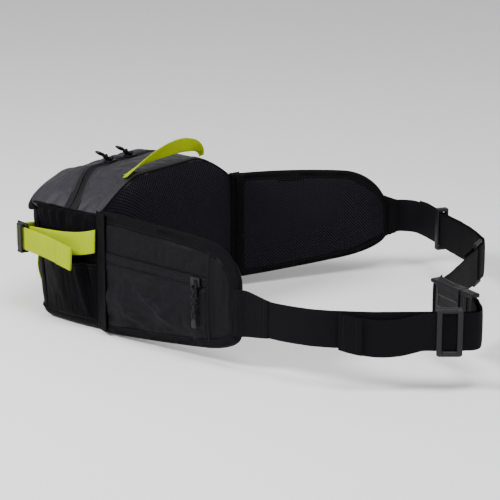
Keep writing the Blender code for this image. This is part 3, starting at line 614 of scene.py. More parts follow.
def tube(name, path, radius, material, points=10, step=None, closed=False):
    """A round cord along a path; radius may differ at each point."""
    path = np.asarray([tuple(p) for p in path], float)
    radius = np.broadcast_to(np.asarray(radius, float), (len(path),))
    if step:
        joined = np.concatenate([path, radius[:, None]], axis=1)
        gone = distances(path)
        s = np.linspace(0, gone[-1], max(4, int(round(gone[-1] / step)) + 1))
        joined = read_along(s, gone, joined)
        path, radius = relax(joined[:, :3], 2), joined[:, 3]
    side, face = transport(path)
    a = -np.linspace(0, 2 * math.pi, points, endpoint=False)
    profile = np.stack([np.cos(a), np.sin(a)], -1)[None] * radius[:, None, None]
    return sweep(name, path, side, face, profile, material, closed)


STITCH_RINGS = ((0, 0.25, -0.6), (0.2, 0.9, 0.35), (0.5, 1.0, 0.6), (0.8, 0.9, 0.35), (1, 0.25, -0.6))


def stitches(name, rows, material, length=0.0026, gap=0.0011, radius=0.00030):
    """Short thread stitches along rows of (points, normals), as one mesh."""
    verts, faces = [], []
    sides = 6
    a = np.linspace(0, 2 * math.pi, sides, endpoint=False)
    ring = np.stack([np.cos(a), np.sin(a)], -1)
    for points, normals in rows:
        gone = distances(np.asarray(points, float))
        row = np.hstack([points, normals])
        s = gap
        while s + length < gone[-1]:
            start, middle, end = read_along([s, s + length / 2, s + length], gone, row)
            start, end = start[:3], end[:3]
            up = unit(middle[3:])
            side = np.cross(up, unit(end - start))
            base = len(verts)
            for share, thick, lift in STITCH_RINGS:
                centre = start + (end - start) * share + up * radius * lift
                verts += [centre + (side * c + up * d) * radius * thick for c, d in ring]
            for i in range(base, base + sides * (len(STITCH_RINGS) - 1), sides):
                for k in range(sides):
                    n = (k + 1) % sides
                    faces.append([i + k, i + n, i + sides + n, i + sides + k])
            faces.append([base + k for k in reversed(range(sides))])
            faces.append([base + sides * (len(STITCH_RINGS) - 1) + k for k in range(sides)])
            s += length + gap
    return make_mesh(name, verts, faces, [(0, 0)] * len(verts), material)


def sew(name, rows, material, body, *sizes):
    """Stitches that ride on a body; sizes are their length, gap and radius."""
    finish_piece(stitches(name, rows, material, *sizes), body)


def straight_row(start, end, normal):
    """One straight row for stitches()."""
    return np.array([tuple(start), tuple(end)], float), np.array([tuple(normal)] * 2, float)


def evaluated(obj):
    """The object's mesh with its modifiers applied, in its place."""
    depsgraph = bpy.context.evaluated_depsgraph_get()
    mesh = bpy.data.meshes.new_from_object(obj.evaluated_get(depsgraph), depsgraph=depsgraph)
    old = obj.data
    obj.modifiers.clear()
    obj.data = mesh
    bpy.data.meshes.remove(old)
    return obj


def coordinates(obj):
    """An object's points, one row each."""
    co = np.empty(len(obj.data.vertices) * 3)
    obj.data.vertices.foreach_get("co", co)
    return co.reshape(-1, 3)


def set_coordinates(obj, co):
    obj.data.vertices.foreach_set("co", np.asarray(co, float).ravel())
    obj.data.update()


CLOTH_FRAMES = 16


def inflate(obj, voxel, pressure, cap, held):
    """Remesh a closed cloth body, blow it up as cloth with its held points pinned, and keep the result."""
    remesh = obj.modifiers.new("remesh", "REMESH")
    remesh.mode = "VOXEL"
    remesh.voxel_size = voxel
    evaluated(obj)
    before = coordinates(obj)
    group = obj.vertex_groups.new(name="held")
    group.add([int(i) for i in np.nonzero(held(before))[0]], 1.0, "REPLACE")
    cloth = obj.modifiers.new("cloth", "CLOTH")
    cloth.settings.use_pressure = True
    cloth.settings.uniform_pressure_force = pressure
    cloth.settings.effector_weights.gravity = 0
    cloth.settings.vertex_group_mass = "held"
    cloth.settings.quality = 4
    cloth.settings.tension_stiffness = 25
    cloth.settings.compression_stiffness = 25
    cloth.settings.bending_stiffness = 0.3
    cloth.point_cache.frame_start = 1
    cloth.point_cache.frame_end = CLOTH_FRAMES
    for step in range(1, CLOTH_FRAMES + 1):
        bpy.context.scene.frame_set(step)
    evaluated(obj)
    bpy.context.scene.frame_set(1)
    obj.vertex_groups.clear()
    moved = coordinates(obj) - before
    size = np.linalg.norm(moved, axis=1, keepdims=True)
    set_coordinates(obj, before + moved * np.minimum(1.0, cap / np.maximum(size, 1e-9)))
    smooth = obj.modifiers.new("smooth", "SUBSURF")
    smooth.levels = smooth.render_levels = 1
    evaluated(obj)
    obj.data.shade_smooth()
    return obj


def soften(node, body, voxel, passes, extra=()):
    """A moulded piece from its CAD solid: edges rounded, with any extra lumps merged in."""
    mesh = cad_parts[node].data.copy()
    mesh.name = f"{node}_moulding"
    obj = bpy.data.objects.new(mesh.name, mesh)
    bpy.context.collection.objects.link(obj)
    if extra:
        co, faces = [tuple(v.co) for v in mesh.vertices], [list(p.vertices) for p in mesh.polygons]
        for verts, quads in extra:
            base = len(co)
            co += [tuple(v) for v in verts]
            faces += [[base + k for k in quad] for quad in quads]
        joined = bpy.data.meshes.new(mesh.name)
        joined.from_pydata(co, [], faces)
        obj.data = joined
    remesh = obj.modifiers.new("remesh", "REMESH")
    remesh.mode = "VOXEL"
    remesh.voxel_size = voxel
    rounded = obj.modifiers.new("smooth", "SMOOTH")
    rounded.factor = 0.5
    rounded.iterations = passes
    evaluated(obj)
    obj.data.materials.clear()
    obj.data.materials.append(ACETAL)
    obj.data.shade_smooth()
    return finish_piece(obj, body, node)


def block(axes, centre, half):
    """A box for soften(), in a piece's own axes. Millimetres."""
    verts = []
    for a in (-1, 1):
        for b, c in ((-1, -1), (1, -1), (1, 1), (-1, 1)):
            corner = [(middle + way * reach) * MM for middle, way, reach in zip(centre, (a, b, c), half)]
            verts.append(axes @ Vector(corner))
    quads = [[3, 2, 1, 0], [4, 5, 6, 7], [0, 1, 5, 4], [1, 2, 6, 5], [2, 3, 7, 6], [3, 0, 4, 7]]
    return verts, quads


def plan_frame(point, z, direction, side=1):
    """Axes at a place: x along a plan direction, y up, z to its right, or to its left when side is -1."""
    along = Vector((direction[0], direction[1], 0)).normalized()
    up = Vector((0, 0, 1))
    out = along.cross(up) * side
    made = Matrix((along, up, out)).transposed().to_4x4()
    made.translation = (point[0], point[1], z)
    return made


# ---------------------------------------------------------------- camera, light, floor


CAMERA_TURN = math.radians(129)
CAMERA_LIFT = math.radians(16.2)
CAMERA_PLACE = (1.619, 1.472, 0.692)
CAMERA_LENS = 148.7


def add_camera():
    """A long lens behind the bag on its right, a little above it."""
    out = math.cos(CAMERA_LIFT)
    back = Vector((math.sin(CAMERA_TURN) * out, -math.cos(CAMERA_TURN) * out, math.sin(CAMERA_LIFT)))
    right = Vector((math.cos(CAMERA_TURN), math.sin(CAMERA_TURN), 0))
    data = bpy.data.cameras.new("camera")
    data.lens = CAMERA_LENS
    data.sensor_width = 36
    data.clip_end = 60
    obj = bpy.data.objects.new("camera", data)
    obj.matrix_world = Matrix((right, back.cross(right), back)).transposed().to_4x4()
    obj.location = CAMERA_PLACE
    bpy.context.collection.objects.link(obj)
    bpy.context.scene.camera = obj


def add_light(name, place, aim, size, power):
    """A round soft light."""
    data = bpy.data.lights.new(name, "AREA")
    data.shape = "DISK"
    data.size = size
    data.energy = power
    obj = bpy.data.objects.new(name, data)
    obj.location = place
    obj.rotation_euler = (Vector(aim) - Vector(place)).to_track_quat("-Z", "Y").to_euler()
    bpy.context.collection.objects.link(obj)


def add_studio():
    """White surroundings, three soft lights and a pale floor."""
    world = bpy.data.worlds.new("studio")
    world.use_nodes = True
    world.node_tree.nodes["Background"].inputs["Color"].default_value = (1, 1, 1, 1)
    world.node_tree.nodes["Background"].inputs["Strength"].default_value = 0.62
    bpy.context.scene.world = world
    add_light("key", (1.35, -0.55, 1.25), (0, 0.1, 0.1), 0.5, 44)
    add_light("top", (0.3, 0.8, 1.8), (0, 0.12, 0.1), 0.9, 24)
    add_light("fill", (1.2, 1.9, 0.5), (0, 0.2, 0.05), 1.2, 13)
    reach, low = 30, -0.0004
    verts = [(-reach, -reach, low), (reach, -reach, low), (reach, reach, low), (-reach, reach, low)]
    floor = make_mesh("floor", verts, [[0, 1, 2, 3]], None, floor_material(), smooth=False)


# ---------------------------------------------------------------- bag


WALL_LOW = 0.0105
TOP_TURN = 0.0042
CORNER_STATIONS = 14
FRONT_STATIONS = 89
STATION_STEP = 0.002
WALL_STATIONS = FRONT_STATIONS + 2 * CORNER_STATIONS
CORNER_TURN = 88
FRONT_OUT = np.array([0, -1.0, 0])


def wall_point(i, z):
    """Plan point of a station of the front wall, from its right end round to its left, at a height."""
    if i < CORNER_STATIONS:
        return corner_point(CORNER_TURN - CORNER_TURN * i / (CORNER_STATIONS - 1), z)
    if i >= WALL_STATIONS - CORNER_STATIONS:
        past = i - (WALL_STATIONS - CORNER_STATIONS)
        x, y = corner_point(CORNER_TURN * past / (CORNER_STATIONS - 1), z)
        return -x, y
    x = 0.088 - STATION_STEP * (i - CORNER_STATIONS)
    return x, front_y(x, z)


def wall_line(z):
    return [wall_point(i, z) for i in range(WALL_STATIONS)]


def build_front():
    """The front wall: sagging cloth, a seam low down, stitching."""
    top = [crown(x, y) - TOP_TURN for x, y in wall_line(SIDE_HEIGHT)]
    rows = 66
    grid = np.zeros((WALL_STATIONS, rows, 3))
    for i in range(WALL_STATIONS):
        for k in range(rows):
            z = WALL_LOW + (top[i] - WALL_LOW) * k / (rows - 1)
            grid[i, k] = (*wall_point(i, z), z)
    uv = grid_lengths(grid)
    out = grid_normals(grid)
    out *= np.sign(out[WALL_STATIONS // 2, 30] @ FRONT_OUT)
    z = grid[..., 2]
    edge = np.minimum(smooth_step(0, 0.012, z - WALL_LOW), smooth_step(0, 0.012, np.array(top)[:, None] - z))
    sag = 0.0010 * np.sin(math.pi * np.clip((z - 0.01) / 0.12, 0, 1)) ** 2
    folds = 0.0011 * noise(uv, (0.018, 0.05), 3) + 0.0006 * crease(uv, (0.012, 0.02), 4)
    hang = 0.0010 * noise(uv, (0.007, 0.06), 5) * smooth_step(0.075, 0.12, z)
    grid = grid + out * ((sag + folds + hang) * edge - 0.0006)[..., None]
    finish_piece(shell("front_wall", grid[::-1], WALL_CLOTH, DARK, uv[::-1]), "pack_body", "front_panel")
    seam_z = 0.0135
    line = np.array([(x, y, seam_z) for x, y in wall_line(seam_z)])
    normal = unit(np.cross(np.gradient(line, axis=0), UP)) * -1
    normal *= np.sign(normal[WALL_STATIONS // 2] @ FRONT_OUT)
    sew("front_wall_stitching", [(line + normal * 0.0002, normal)], THREAD, "pack_body")


def build_floor_panel():
    """The bottom of the bag: a flat floor whose rounded edge comes up to the wall seam."""
    levels = (0.0115, 0.0095, 0.0070, 0.0045, 0.0025, 0.0010, 0.0001)
    rings = []
    for z in levels:
        front = wall_line(z)
        inset = float(floor_inset(z))
        half, y0, back = HALF_WIDTH - inset, front[0][1], BACK_Y + 0.0005 - inset * 0.35
        shares = np.linspace(1, 0.06, 18)
        side = [(half + 0.002 * math.sin(math.pi * t), y0 + (back - y0) * t) for t in shares]
        rear = [(-half + 2 * half * t, back) for t in np.linspace(0.03, 0.97, 40)]
        ring = side + front + [(-x, y) for x, y in reversed(side)] + rear
        rings.append([(x, y, z) for x, y in ring])
    for share in (0.9, 0.55, 0.2):
        rings.append([(x * share, y * share, levels[-1]) for x, y, _ in rings[len(levels) - 1]])
    n = len(rings[0])
    verts = [point for ring in rings for point in ring]
    verts += [(x * 0.985, y * 0.985, levels[0]) for x, y, _ in rings[0]]
    top = len(rings) * n
    faces = []
    for k in range(n):
        m = (k + 1) % n
        faces += [[r * n + k, r * n + m, (r + 1) * n + m, (r + 1) * n + k] for r in range(len(rings) - 1)]
        faces.append([k, top + k, top + m, m])
    faces.append(list(range(top - n, top)))
    faces.append([top + k for k in reversed(range(n))])
    verts = np.array(verts)
    obj = make_mesh("floor_panel", verts, faces, verts[:, :2], DARK)
    obj.data.set_sharp_from_angle(angle=math.radians(50))
    finish_piece(obj, "pack_body", "base_panel")
    seam = np.array([(x, y, 0.0118) for x, y, _ in rings[0]])
    away = unit((seam - [0, 0, 0.0118]) * [1, 1, 0])
    finish_piece(tube("floor_seam", seam + away * 0.0001, 0.0009, BINDING, 8, closed=True), "pack_body")


def build_side_wall(name, side):
    """One side wall: gathered black cloth above the strap, plain below."""
    us, zs = np.linspace(0, 1, 66), np.linspace(WALL_LOW, 0.1272, 74)
    u, z = np.meshgrid(us, zs, indexing="ij")
    y_front = np.array([corner_point(CORNER_TURN, h)[1] for h in zs])[None, :]
    y = y_front + (BACK_Y + 0.001 - y_front) * u
    gathered = smooth_step(0.088, 0.112, z) * (1 - 0.75 * smooth_step(0.121, 0.1272, z))
    flat = np.stack([u * 0.085 + 0.004 * noise(np.stack([u, z], -1), (0.3, 0.02), 7), z], -1)
    pleats = np.abs(np.sin(flat[..., 0] * math.pi / 0.0105)) ** 0.65 - 0.55
    pleats += 0.7 * noise(flat, (0.006, 0.03), 11)
    loose = 0.7 * noise(flat, (0.016, 0.05), 12)
    edge = np.sin(math.pi * np.clip(u, 0.0, 1.0)) ** 0.4
    push = edge * (gathered * pleats * 0.0021 + (1 - gathered) * loose * 0.0010) + 0.0016 * gathered * edge
    x = side_x(u, z) - 0.0004 + push
    grid = np.stack([side * x, y, z], -1)
    uv = np.stack([u * 0.09, z], -1)
    if side < 0:
        grid, uv = grid[::-1], uv[::-1]
    finish_piece(shell(f"side_wall_{name}", grid, WALL_CLOTH, DARK, uv), "pack_body", f"side_panel_{name}")


def build_side_pocket(name, side):
    """The stretch pocket: hemmed top, hanging folds, one deep pleat towards the wing."""
    us, ws = np.linspace(0.02, 0.985, 84), np.linspace(0, 1, 60)
    u, w = np.meshgrid(us, ws, indexing="ij")
    z = 0.0125 + (0.0735 - 0.0125) * w
    y_front = np.array([[corner_point(CORNER_TURN, h)[1] for h in row] for row in z])
    y = y_front + (BACK_Y - y_front) * u
    across = np.sin(math.pi * (u - 0.02) / 0.965)
    bulge = 0.0085 * np.maximum(across, 0) ** 0.75 * (0.12 + 0.88 * w**0.6)
    flat = np.stack([u * 0.086, z], -1)
    path_u = 0.80 + 0.13 * (1 - w) ** 1.2
    pleat = np.exp(-(((u - path_u) / 0.045) ** 2)) * smooth_step(0.0, 0.25, w)
    lip = np.exp(-(((u - path_u + 0.085) / 0.05) ** 2)) * smooth_step(0.0, 0.3, w)
    folds = noise(flat, (0.011, 0.07), 21) * smooth_step(0.05, 0.5, w)
    crumple = crease(flat, (0.009, 0.024), 22)
    edge = np.maximum(across, 0) ** 0.5
    push = bulge - 0.0066 * pleat * edge + 0.0026 * lip * edge + edge * (0.0006 * folds + 0.0005 * crumple)
    hem = smooth_step(0.93, 0.97, w)
    push = np.maximum(push + 0.0005 * hem, 0.0004) + 0.0005
    x = side_x(u, z) + push
    grid = np.stack([side * x, y, z], -1)
    uv = flat
    if side < 0:
        grid, uv = grid[::-1], uv[::-1]
    cloth = shell(f"side_pocket_cloth_{name}", grid, SKIN, DARK, uv)
    finish_piece(cloth, "pack_body", f"side_pocket_{name}")
    out = np.broadcast_to([float(side), 0, 0], grid[:, 0].shape)
    rows = [(grid[:, k] + out * 0.0001, out) for k in (-5, 1)]
    sew(f"side_pocket_stitching_{name}", rows, THREAD, "pack_body", 0.0020, 0.0009, 0.00024)
    hem_line = grid[:, -1] + out * -0.0002
    finish_piece(tube(f"side_pocket_hem_{name}", hem_line, 0.0010, BINDING, 10), "pack_body")


def top_wrinkles(x, y):
    """Dents and puckers of the grey top, in metres of height."""
    flat = np.stack([x, y], -1)
    reach = HALF_WIDTH - np.abs(x)
    puckers = noise(np.stack([y, x * 0.25], -1), (0.0085, 0.02), 31) * np.exp(-np.maximum(reach, 0) / 0.016)
    dents = noise(flat, (0.026, 0.034), 32) * 0.8 + noise(flat, (0.050, 0.030), 33)
    fine = crease(flat, (0.014, 0.010), 34)
    cross = noise(np.stack([x + y, x - y], -1), (0.011, 0.04), 35)
    return 0.0030 * puckers + 0.0019 * dents + 0.0008 * fine + 0.0010 * cross


def top_panel(name, y_low, y_high, node, seam_edge, extra_rows=None):
    """One grey panel between two plan lines. seam_edge says which side turns down at the zip."""
    hem_in = 0.0036
    xs = np.linspace(-0.1079, 0.1079, 150)
    low, high = y_low(xs), y_high(xs)
    shares = np.concatenate([[0, 0.008], np.linspace(0.03, 0.97, 44), [0.992, 1]])
    x = np.broadcast_to(xs[:, None], (150, len(shares)))
    y = low[:, None] + (high - low)[:, None] * shares[None, :]
    z = crown(x, y)
    near = (y - low[:, None], high[:, None] - y)
    free = np.minimum(smooth_step(0, 0.007, near[0]), smooth_step(0, 0.007, near[1]))
    ends = smooth_step(0, 0.0035, HALF_WIDTH + 0.0003 - np.abs(x))
    pillow = 0.0022 * np.sin(math.pi * shares[None, :]) ** 0.7 * smooth_step(0, 0.02, HALF_WIDTH - np.abs(x))
    z = z + pillow + top_wrinkles(x, y) * (0.12 + 0.88 * free) * (0.35 + 0.65 * ends)
    turn = near[0] if seam_edge == "low" else near[1]
    z = z - 0.0011 * (1 - smooth_step(0, 0.0011, turn)) - 0.0016 * (1 - ends)
    z = z - 0.00028 * np.exp(-(((turn - hem_in) / 0.0006) ** 2))
    grid = np.stack([x, y, z], -1)
    if extra_rows is not None:
        grid = np.concatenate([grid, extra_rows(grid)], axis=1)
    uv = grid_lengths(grid)
    finish_piece(shell(name, grid, 0.0013, GREY, uv), "pack_body", node)
    row = np.argmin(np.abs(np.median(turn, axis=0) - hem_in))
    line, up = grid[3:-3, row], grid_normals(grid)[3:-3, row]
    sew(f"{name}_stitching", [(line + up * 0.0001, up)], THREAD, "pack_body", 0.0022, 0.0010, 0.00023)


def back_roll(grid):
    """The rear panel's back edge, rolled over into the back seam."""
    edge, before = grid[:, -1], grid[:, -4]
    along = unit(edge - before)
    down = np.array([0, 0, -1.0])
    radius = 0.0034 * smooth_step(0, 0.02, HALF_WIDTH - np.abs(edge[:, 0]))[:, None] + 0.0006
    rows = []
    for degrees in np.linspace(12, 165, 12):
        a = math.radians(degrees)
        swell = 1 + 0.18 * noise(edge, 0.016, 41)[:, None]
        rows.append(edge + radius * swell * (along * math.sin(a) + down * (1 - math.cos(a))))
    return np.stack(rows, axis=1)


def build_top():
    """Both grey panels, and the bound seams down the sides."""
    front = lambda xs: top_front_y(xs) - 0.0002
    back = lambda xs: np.full_like(xs, BACK_Y - 0.0015)
    before_zip = lambda xs: zip_y(xs) - (ZIP_BAND - 0.0040)
    after_zip = lambda xs: zip_y(xs) + (ZIP_BAND - 0.0040)
    top_panel("top_front_cloth", front, before_zip, "top_front_panel", "high")
    top_panel("top_rear_cloth", after_zip, back, "top_rear_panel", "low", back_roll)
    for label, side in SIDES:
        ys = np.linspace(top_front_y(0.1075) + 0.0005, BACK_Y, 60)
        line = np.stack([np.full_like(ys, side * 0.1087), ys, np.full_like(ys, 0.1275)], -1)
        line[:, 2] += 0.0005 * noise(line, 0.01, 42)
        finish_piece(tube(f"side_seam_{label}", line, 0.0013, BINDING, 8), "pack_body")


TAPE_OFFSETS = np.array([0.3, 0.4, 0.9, 1.6, 2.3, 2.7, 3.1, 4.5, 6.2, 7.8, 9.2]) * MM
TAPE_LIFTS = np.array([0.0, 0.9, 1.5, 1.7, 1.4, 0.7, 0.3, 0.3, 0.1, -0.3, -0.8]) * MM
COIL_TURNS = 15


def build_zip():
    """Two tapes with covered coils, open a little between the sliders, and the teeth in the gap."""
    xs = np.linspace(-0.1072, 0.1072, 200)
    left, right = -0.0055, 0.0135
    mouth = smooth_step(left - 0.002, left + 0.006, xs) * (1 - smooth_step(right - 0.006, right + 0.002, xs))
    mouth = 0.0021 * mouth
    coils = {"front": (), "rear": ("main_zip_coil_right", "main_zip_coil_left")}
    for label, way in (("front", -1), ("rear", 1)):
        x = np.broadcast_to(xs[:, None], (len(xs), len(TAPE_OFFSETS)))
        y = zip_y(x) + way * (TAPE_OFFSETS + mouth[:, None] * (1 - TAPE_OFFSETS / 0.0098))
        z = crown(x, y) + TAPE_LIFTS + 0.0003 * noise(np.stack([x, y], -1), (0.012, 0.05), 51 + way)
        grid = np.stack([x, y, z], -1)
        uv = np.stack(np.broadcast_arrays(xs[:, None], TAPE_OFFSETS[None, :]), -1)
        if way < 0:
            grid, uv = grid[:, ::-1], uv[:, ::-1]
        tape = shell(f"zip_tape_{label}", grid, 0.0007, TAPE, uv)
        finish_piece(tape, "pack_body", f"main_zip_tape_{label}", *coils[label])
        t = np.linspace(0, 1, 260)
        turn = t * 2 * math.pi * COIL_TURNS
        x = left + (right - left) * t
        open_by = np.interp(x, xs, mouth) + 0.0002
        y = zip_y(x) + way * (open_by + 0.0003 + 0.0009 * (1 - np.cos(turn)) * 0.5)
        z = crown(x, y) + 0.0006 + 0.0006 * np.sin(turn)
        finish_piece(tube(f"zip_coil_{label}", np.stack([x, y, z], -1), 0.00026, COIL, 6), "pack_body")


def build_front_piping():
    """The black bound seam round the top's front edge, tapering at its two ends."""
    step, proud = 0.0025, 0.0012
    corner = [corner_point(a, SIDE_HEIGHT, -proud) for a in np.linspace(CORNER_TURN, 0, 20)]
    front = [(x, float(front_y(x, SIDE_HEIGHT)) - proud) for x in np.arange(0.087, -0.0875, -0.003)]
    plan = corner + front + [(-x, y) for x, y in corner[::-1]]
    path, _ = resample([(x, y, crown(x, y) - TOP_TURN) for x, y in plan], step)
    along = tangents(path)
    out = unit(np.cross(along, UP))
    out *= np.sign(out[len(out) // 2] @ FRONT_OUT)
    slant = math.radians(28)
    side = unit(UP * math.cos(slant) - out * math.sin(slant))
    face = unit(np.cross(side, along)) * np.sign((np.cross(side[0], along[0]) @ out[0]))
    wave = 1 + 0.12 * noise(path, 0.008, 61)
    rank = np.arange(len(path))
    taper = 0.3 + 0.7 * smooth_step(0.0, 0.014, step * np.minimum(rank, rank[::-1]))
    profile = round_profile(0.0095, 0.0030, 20, 0.6)
    profile = profile[None] * np.stack([taper, taper * wave], -1)[:, None]
    binding = sweep("front_edge_binding", path, side, face, profile, BINDING)
    finish_piece(binding, "pack_body", "front_edge_piping")


def lattice_dip(u, v):
    """Depth share of the mesh's holes at a place on the cloth."""
    holes = np.cos(2 * math.pi * u / MESH_PITCH) * np.cos(2 * math.pi * v / MESH_PITCH)
    return smooth_step(0.1, 0.9, holes)


def build_back_mesh():
    """The padded back: one convex air-mesh panel from seam to seam."""
    step = MESH_PITCH / 4
    nx, nz = int(0.2130 / step) + 1, int(0.1560 / step) + 1
    xs = (np.arange(nx) - (nx - 1) / 2) * step
    u = np.broadcast_to(xs[:, None], (nx, nz))
    top = crown(xs, BACK_Y)[:, None] - 0.0018
    low = 0.0045
    share = np.broadcast_to(np.linspace(0, 1, nz)[None, :], (nx, nz))
    z = low + (top - low) * share
    across, up = np.abs(u) / 0.1070, np.abs(2 * share - 1)
    swell = np.maximum(1 - across**3.2, 0) ** 0.8 * np.maximum(1 - up**3.5, 0) ** 0.8
    flat = np.stack([u, z], -1)
    y = BACK_Y + 0.0012 + 0.0138 * swell + 0.0007 * noise(flat, (0.05, 0.04), 71) * swell
    v = (np.arange(nz) * step)[None, :] + np.zeros((nx, nz))
    ends = np.minimum(share, 1 - share) * 40
    calm = np.minimum(smooth_step(0, 0.003, 0.1065 - np.abs(u)), ends).clip(0, 1)
    grid = np.stack([u, y, z], -1)
    normal = grid_normals(grid)
    normal *= np.sign(normal[nx // 2, nz // 2, 1])
    grid = grid - normal * (0.0009 * lattice_dip(u, v) * calm)[..., None]
    uv = np.stack([u, v], -1)
    obj = shell("back_mesh_panel", grid[::-1], 0.0016, MESH, uv[::-1])
    finish_piece(obj, "pack_body", "back_mesh_cover", "back_foam_pad", "back_sheet")
    line = np.concatenate([grid[::4, 0], grid[-1, ::4], grid[::-4, -1], grid[0, ::-4]])
    line = line * [1.0012, 1, 1] + [0, 0.0002, 0]
    line = relax(line, 2)
    finish_piece(tube("back_panel_seam", line, 0.0011, BINDING, 8, closed=True), "pack_body")


def mirrored(points, side):
    """Points of the right side, for either side."""
    return np.array([tuple(p) for p in points], float) * [side, 1, 1]


def build_lime_side(name, side):
    """The lime webbing of one side."""
    build_compression_strap(name, side)
    build_lock_anchor(name, side)
    build_gear_loop(name, side)


def lime_bartacks(name, ends, normal, length, gap):
    """Short straight rows of lime stitching."""
    rows = [straight_row(start, end, normal) for start, end in ends]
    sew(name, rows, LIME_THREAD, "pack_body", length, gap)


def build_compression_strap(name, side):
    """Compression strap: from the back seam to its lock, round the bar and back as a folded tail."""
    lock = Vector(LOCK_PLACE)
    travel = Vector(STRAP_HEADING).normalized()
    right = Vector((travel.y, -travel.x, 0))
    radius = LAYER_STEP / 2
    bar = lock + travel * 0.0093
    inner_end = bar + right * radius
    run = interpolate_bezier((0.1118, 0.0435, 0.100), (0.1170, 0.015, 0.089), (0.1155, -0.025, 0.091),
                             inner_end - travel * 0.004, 40)
    half_circle = np.linspace(0, math.pi, 13)
    turn = [bar + right * radius * math.cos(a) + travel * radius * math.sin(a) for a in half_circle]
    outer_start = bar - right * radius
    tail = interpolate_bezier(outer_start - travel * 0.004, outer_start - travel * 0.024,
                              (0.1238, -0.014, 0.0862), (0.1278, 0.024, 0.0805), 34)
    path = list(run) + turn + list(tail)
    tail_start = len(run) + len(turn) + 1
    across = []
    for k in range(len(path)):
        on_run = max(0.0, 1 - k / 20)
        on_tail = max(0.0, (k - tail_start) / 33)
        across.append(Vector((-0.04 * on_tail - 0.05 * on_run, 0.04 * on_tail, 1)).normalized())
    strap = ribbon(f"compression_webbing_{name}", mirrored(path, side), LIME_WIDTH, LIME_THICK, LIME,
                   mirrored(across, side), ripple=0.0004, seed=81)
    start, end = mirrored([(0.112, -0.030, 0.088), (0.110, -0.060, 0.085)], side)
    finish_blend(strap, "pack_body", f"ladder_lock_{name}", start, end, f"compression_strap_{name}")
    lift = [point + Vector((0.0016, 0, 0)) for point in path[-8:]]
    hem = ribbon(f"compression_tail_fold_{name}", mirrored(lift, side), LIME_WIDTH * 0.985, 0.0013, LIME,
                 mirrored(across[-8:], side), seed=82)
    finish_piece(hem, "pack_body")
    normal = np.array([side * 1.0, 0, 0])
    ends = []
    for t in (0.15, 0.85):
        middle = lift[1].lerp(lift[-1], t)
        reach = across[-4] * 0.010
        ends.append(mirrored([middle - reach, middle + reach], side) + normal * 0.0009)
    lime_bartacks(f"compression_tail_stitching_{name}", ends, normal, 0.002, 0.0007)


def build_lock_anchor(name, side):
    """The webbing that holds a ladder lock, folded through its rear bar and sewn to the front."""
    radius = LAYER_STEP / 2
    pivot = Vector(LOCK_PLACE) + Vector(STRAP_HEADING).normalized() * 0.0178
    seat = Vector((0.078, float(front_y(0.078, 0.0975)) - 0.002, 0.085))
    reach = (pivot - seat).normalized()
    aside = Vector((-reach.y, reach.x, 0))
    half_circle = np.linspace(0, math.pi, 13)
    turn = [pivot + (aside * math.cos(a) + reach * math.sin(a)) * radius for a in half_circle]
    under = interpolate_bezier(seat, seat + Vector((0.008, 0, 0)), turn[0] - reach * 0.006, turn[0], 12)
    over_end = seat + Vector((0.003, -0.0020, 0))
    lead = over_end + Vector((0.006, 0, 0))
    over = interpolate_bezier(turn[-1], turn[-1] - reach * 0.006, lead, over_end, 12)
    path = list(under[:-1]) + turn + list(over[1:])
    anchor = ribbon(f"lock_anchor_webbing_{name}", mirrored(path, side), LIME_WIDTH, LIME_THICK, LIME)
    finish_piece(anchor, "pack_body", f"ladder_anchor_{name}")
    ends = []
    for dx in (0.0045, 0.0075, 0.0105):
        ends.append(mirrored([seat + Vector((dx, -0.0031, dz)) for dz in (-0.0105, 0.0105)], side))
    lime_bartacks(f"lock_anchor_stitching_{name}", ends, FRONT_OUT, 0.002, 0.0007)


def build_gear_loop(name, side):
    """The bowed loop on the front wall, bar-tacked at its two ends."""
    path, x = [], 0.082
    for t in np.linspace(0, 1, 41):
        z = 0.072 - 0.048 * t
        bow = 0.0085 * math.sin(math.pi * t) ** 0.75
        path.append((x, float(front_y(x, z)) - 0.0016 - bow, z))
    width = np.broadcast_to([float(side), 2 * 0.014 * x / HALF_WIDTH**2, 0], (len(path), 3))
    path = mirrored(path, side)
    loop = ribbon(f"gear_loop_webbing_{name}", path, 0.020, LIME_THICK, LIME, width, ripple=0.0003)
    finish_piece(loop, "pack_body", f"front_gear_loop_{name}")
    ends = []
    for z in (0.0705, 0.0255):
        y = float(front_y(x, z)) - 0.0030
        for dz in (-0.0008, 0.0008):
            ends.append(mirrored([(x - 0.008, y - 0.0011, z + dz), (x + 0.008, y + 0.0013, z + dz)], side))
    lime_bartacks(f"gear_loop_bartack_{name}", ends, FRONT_OUT, 0.0018, 0.0004)


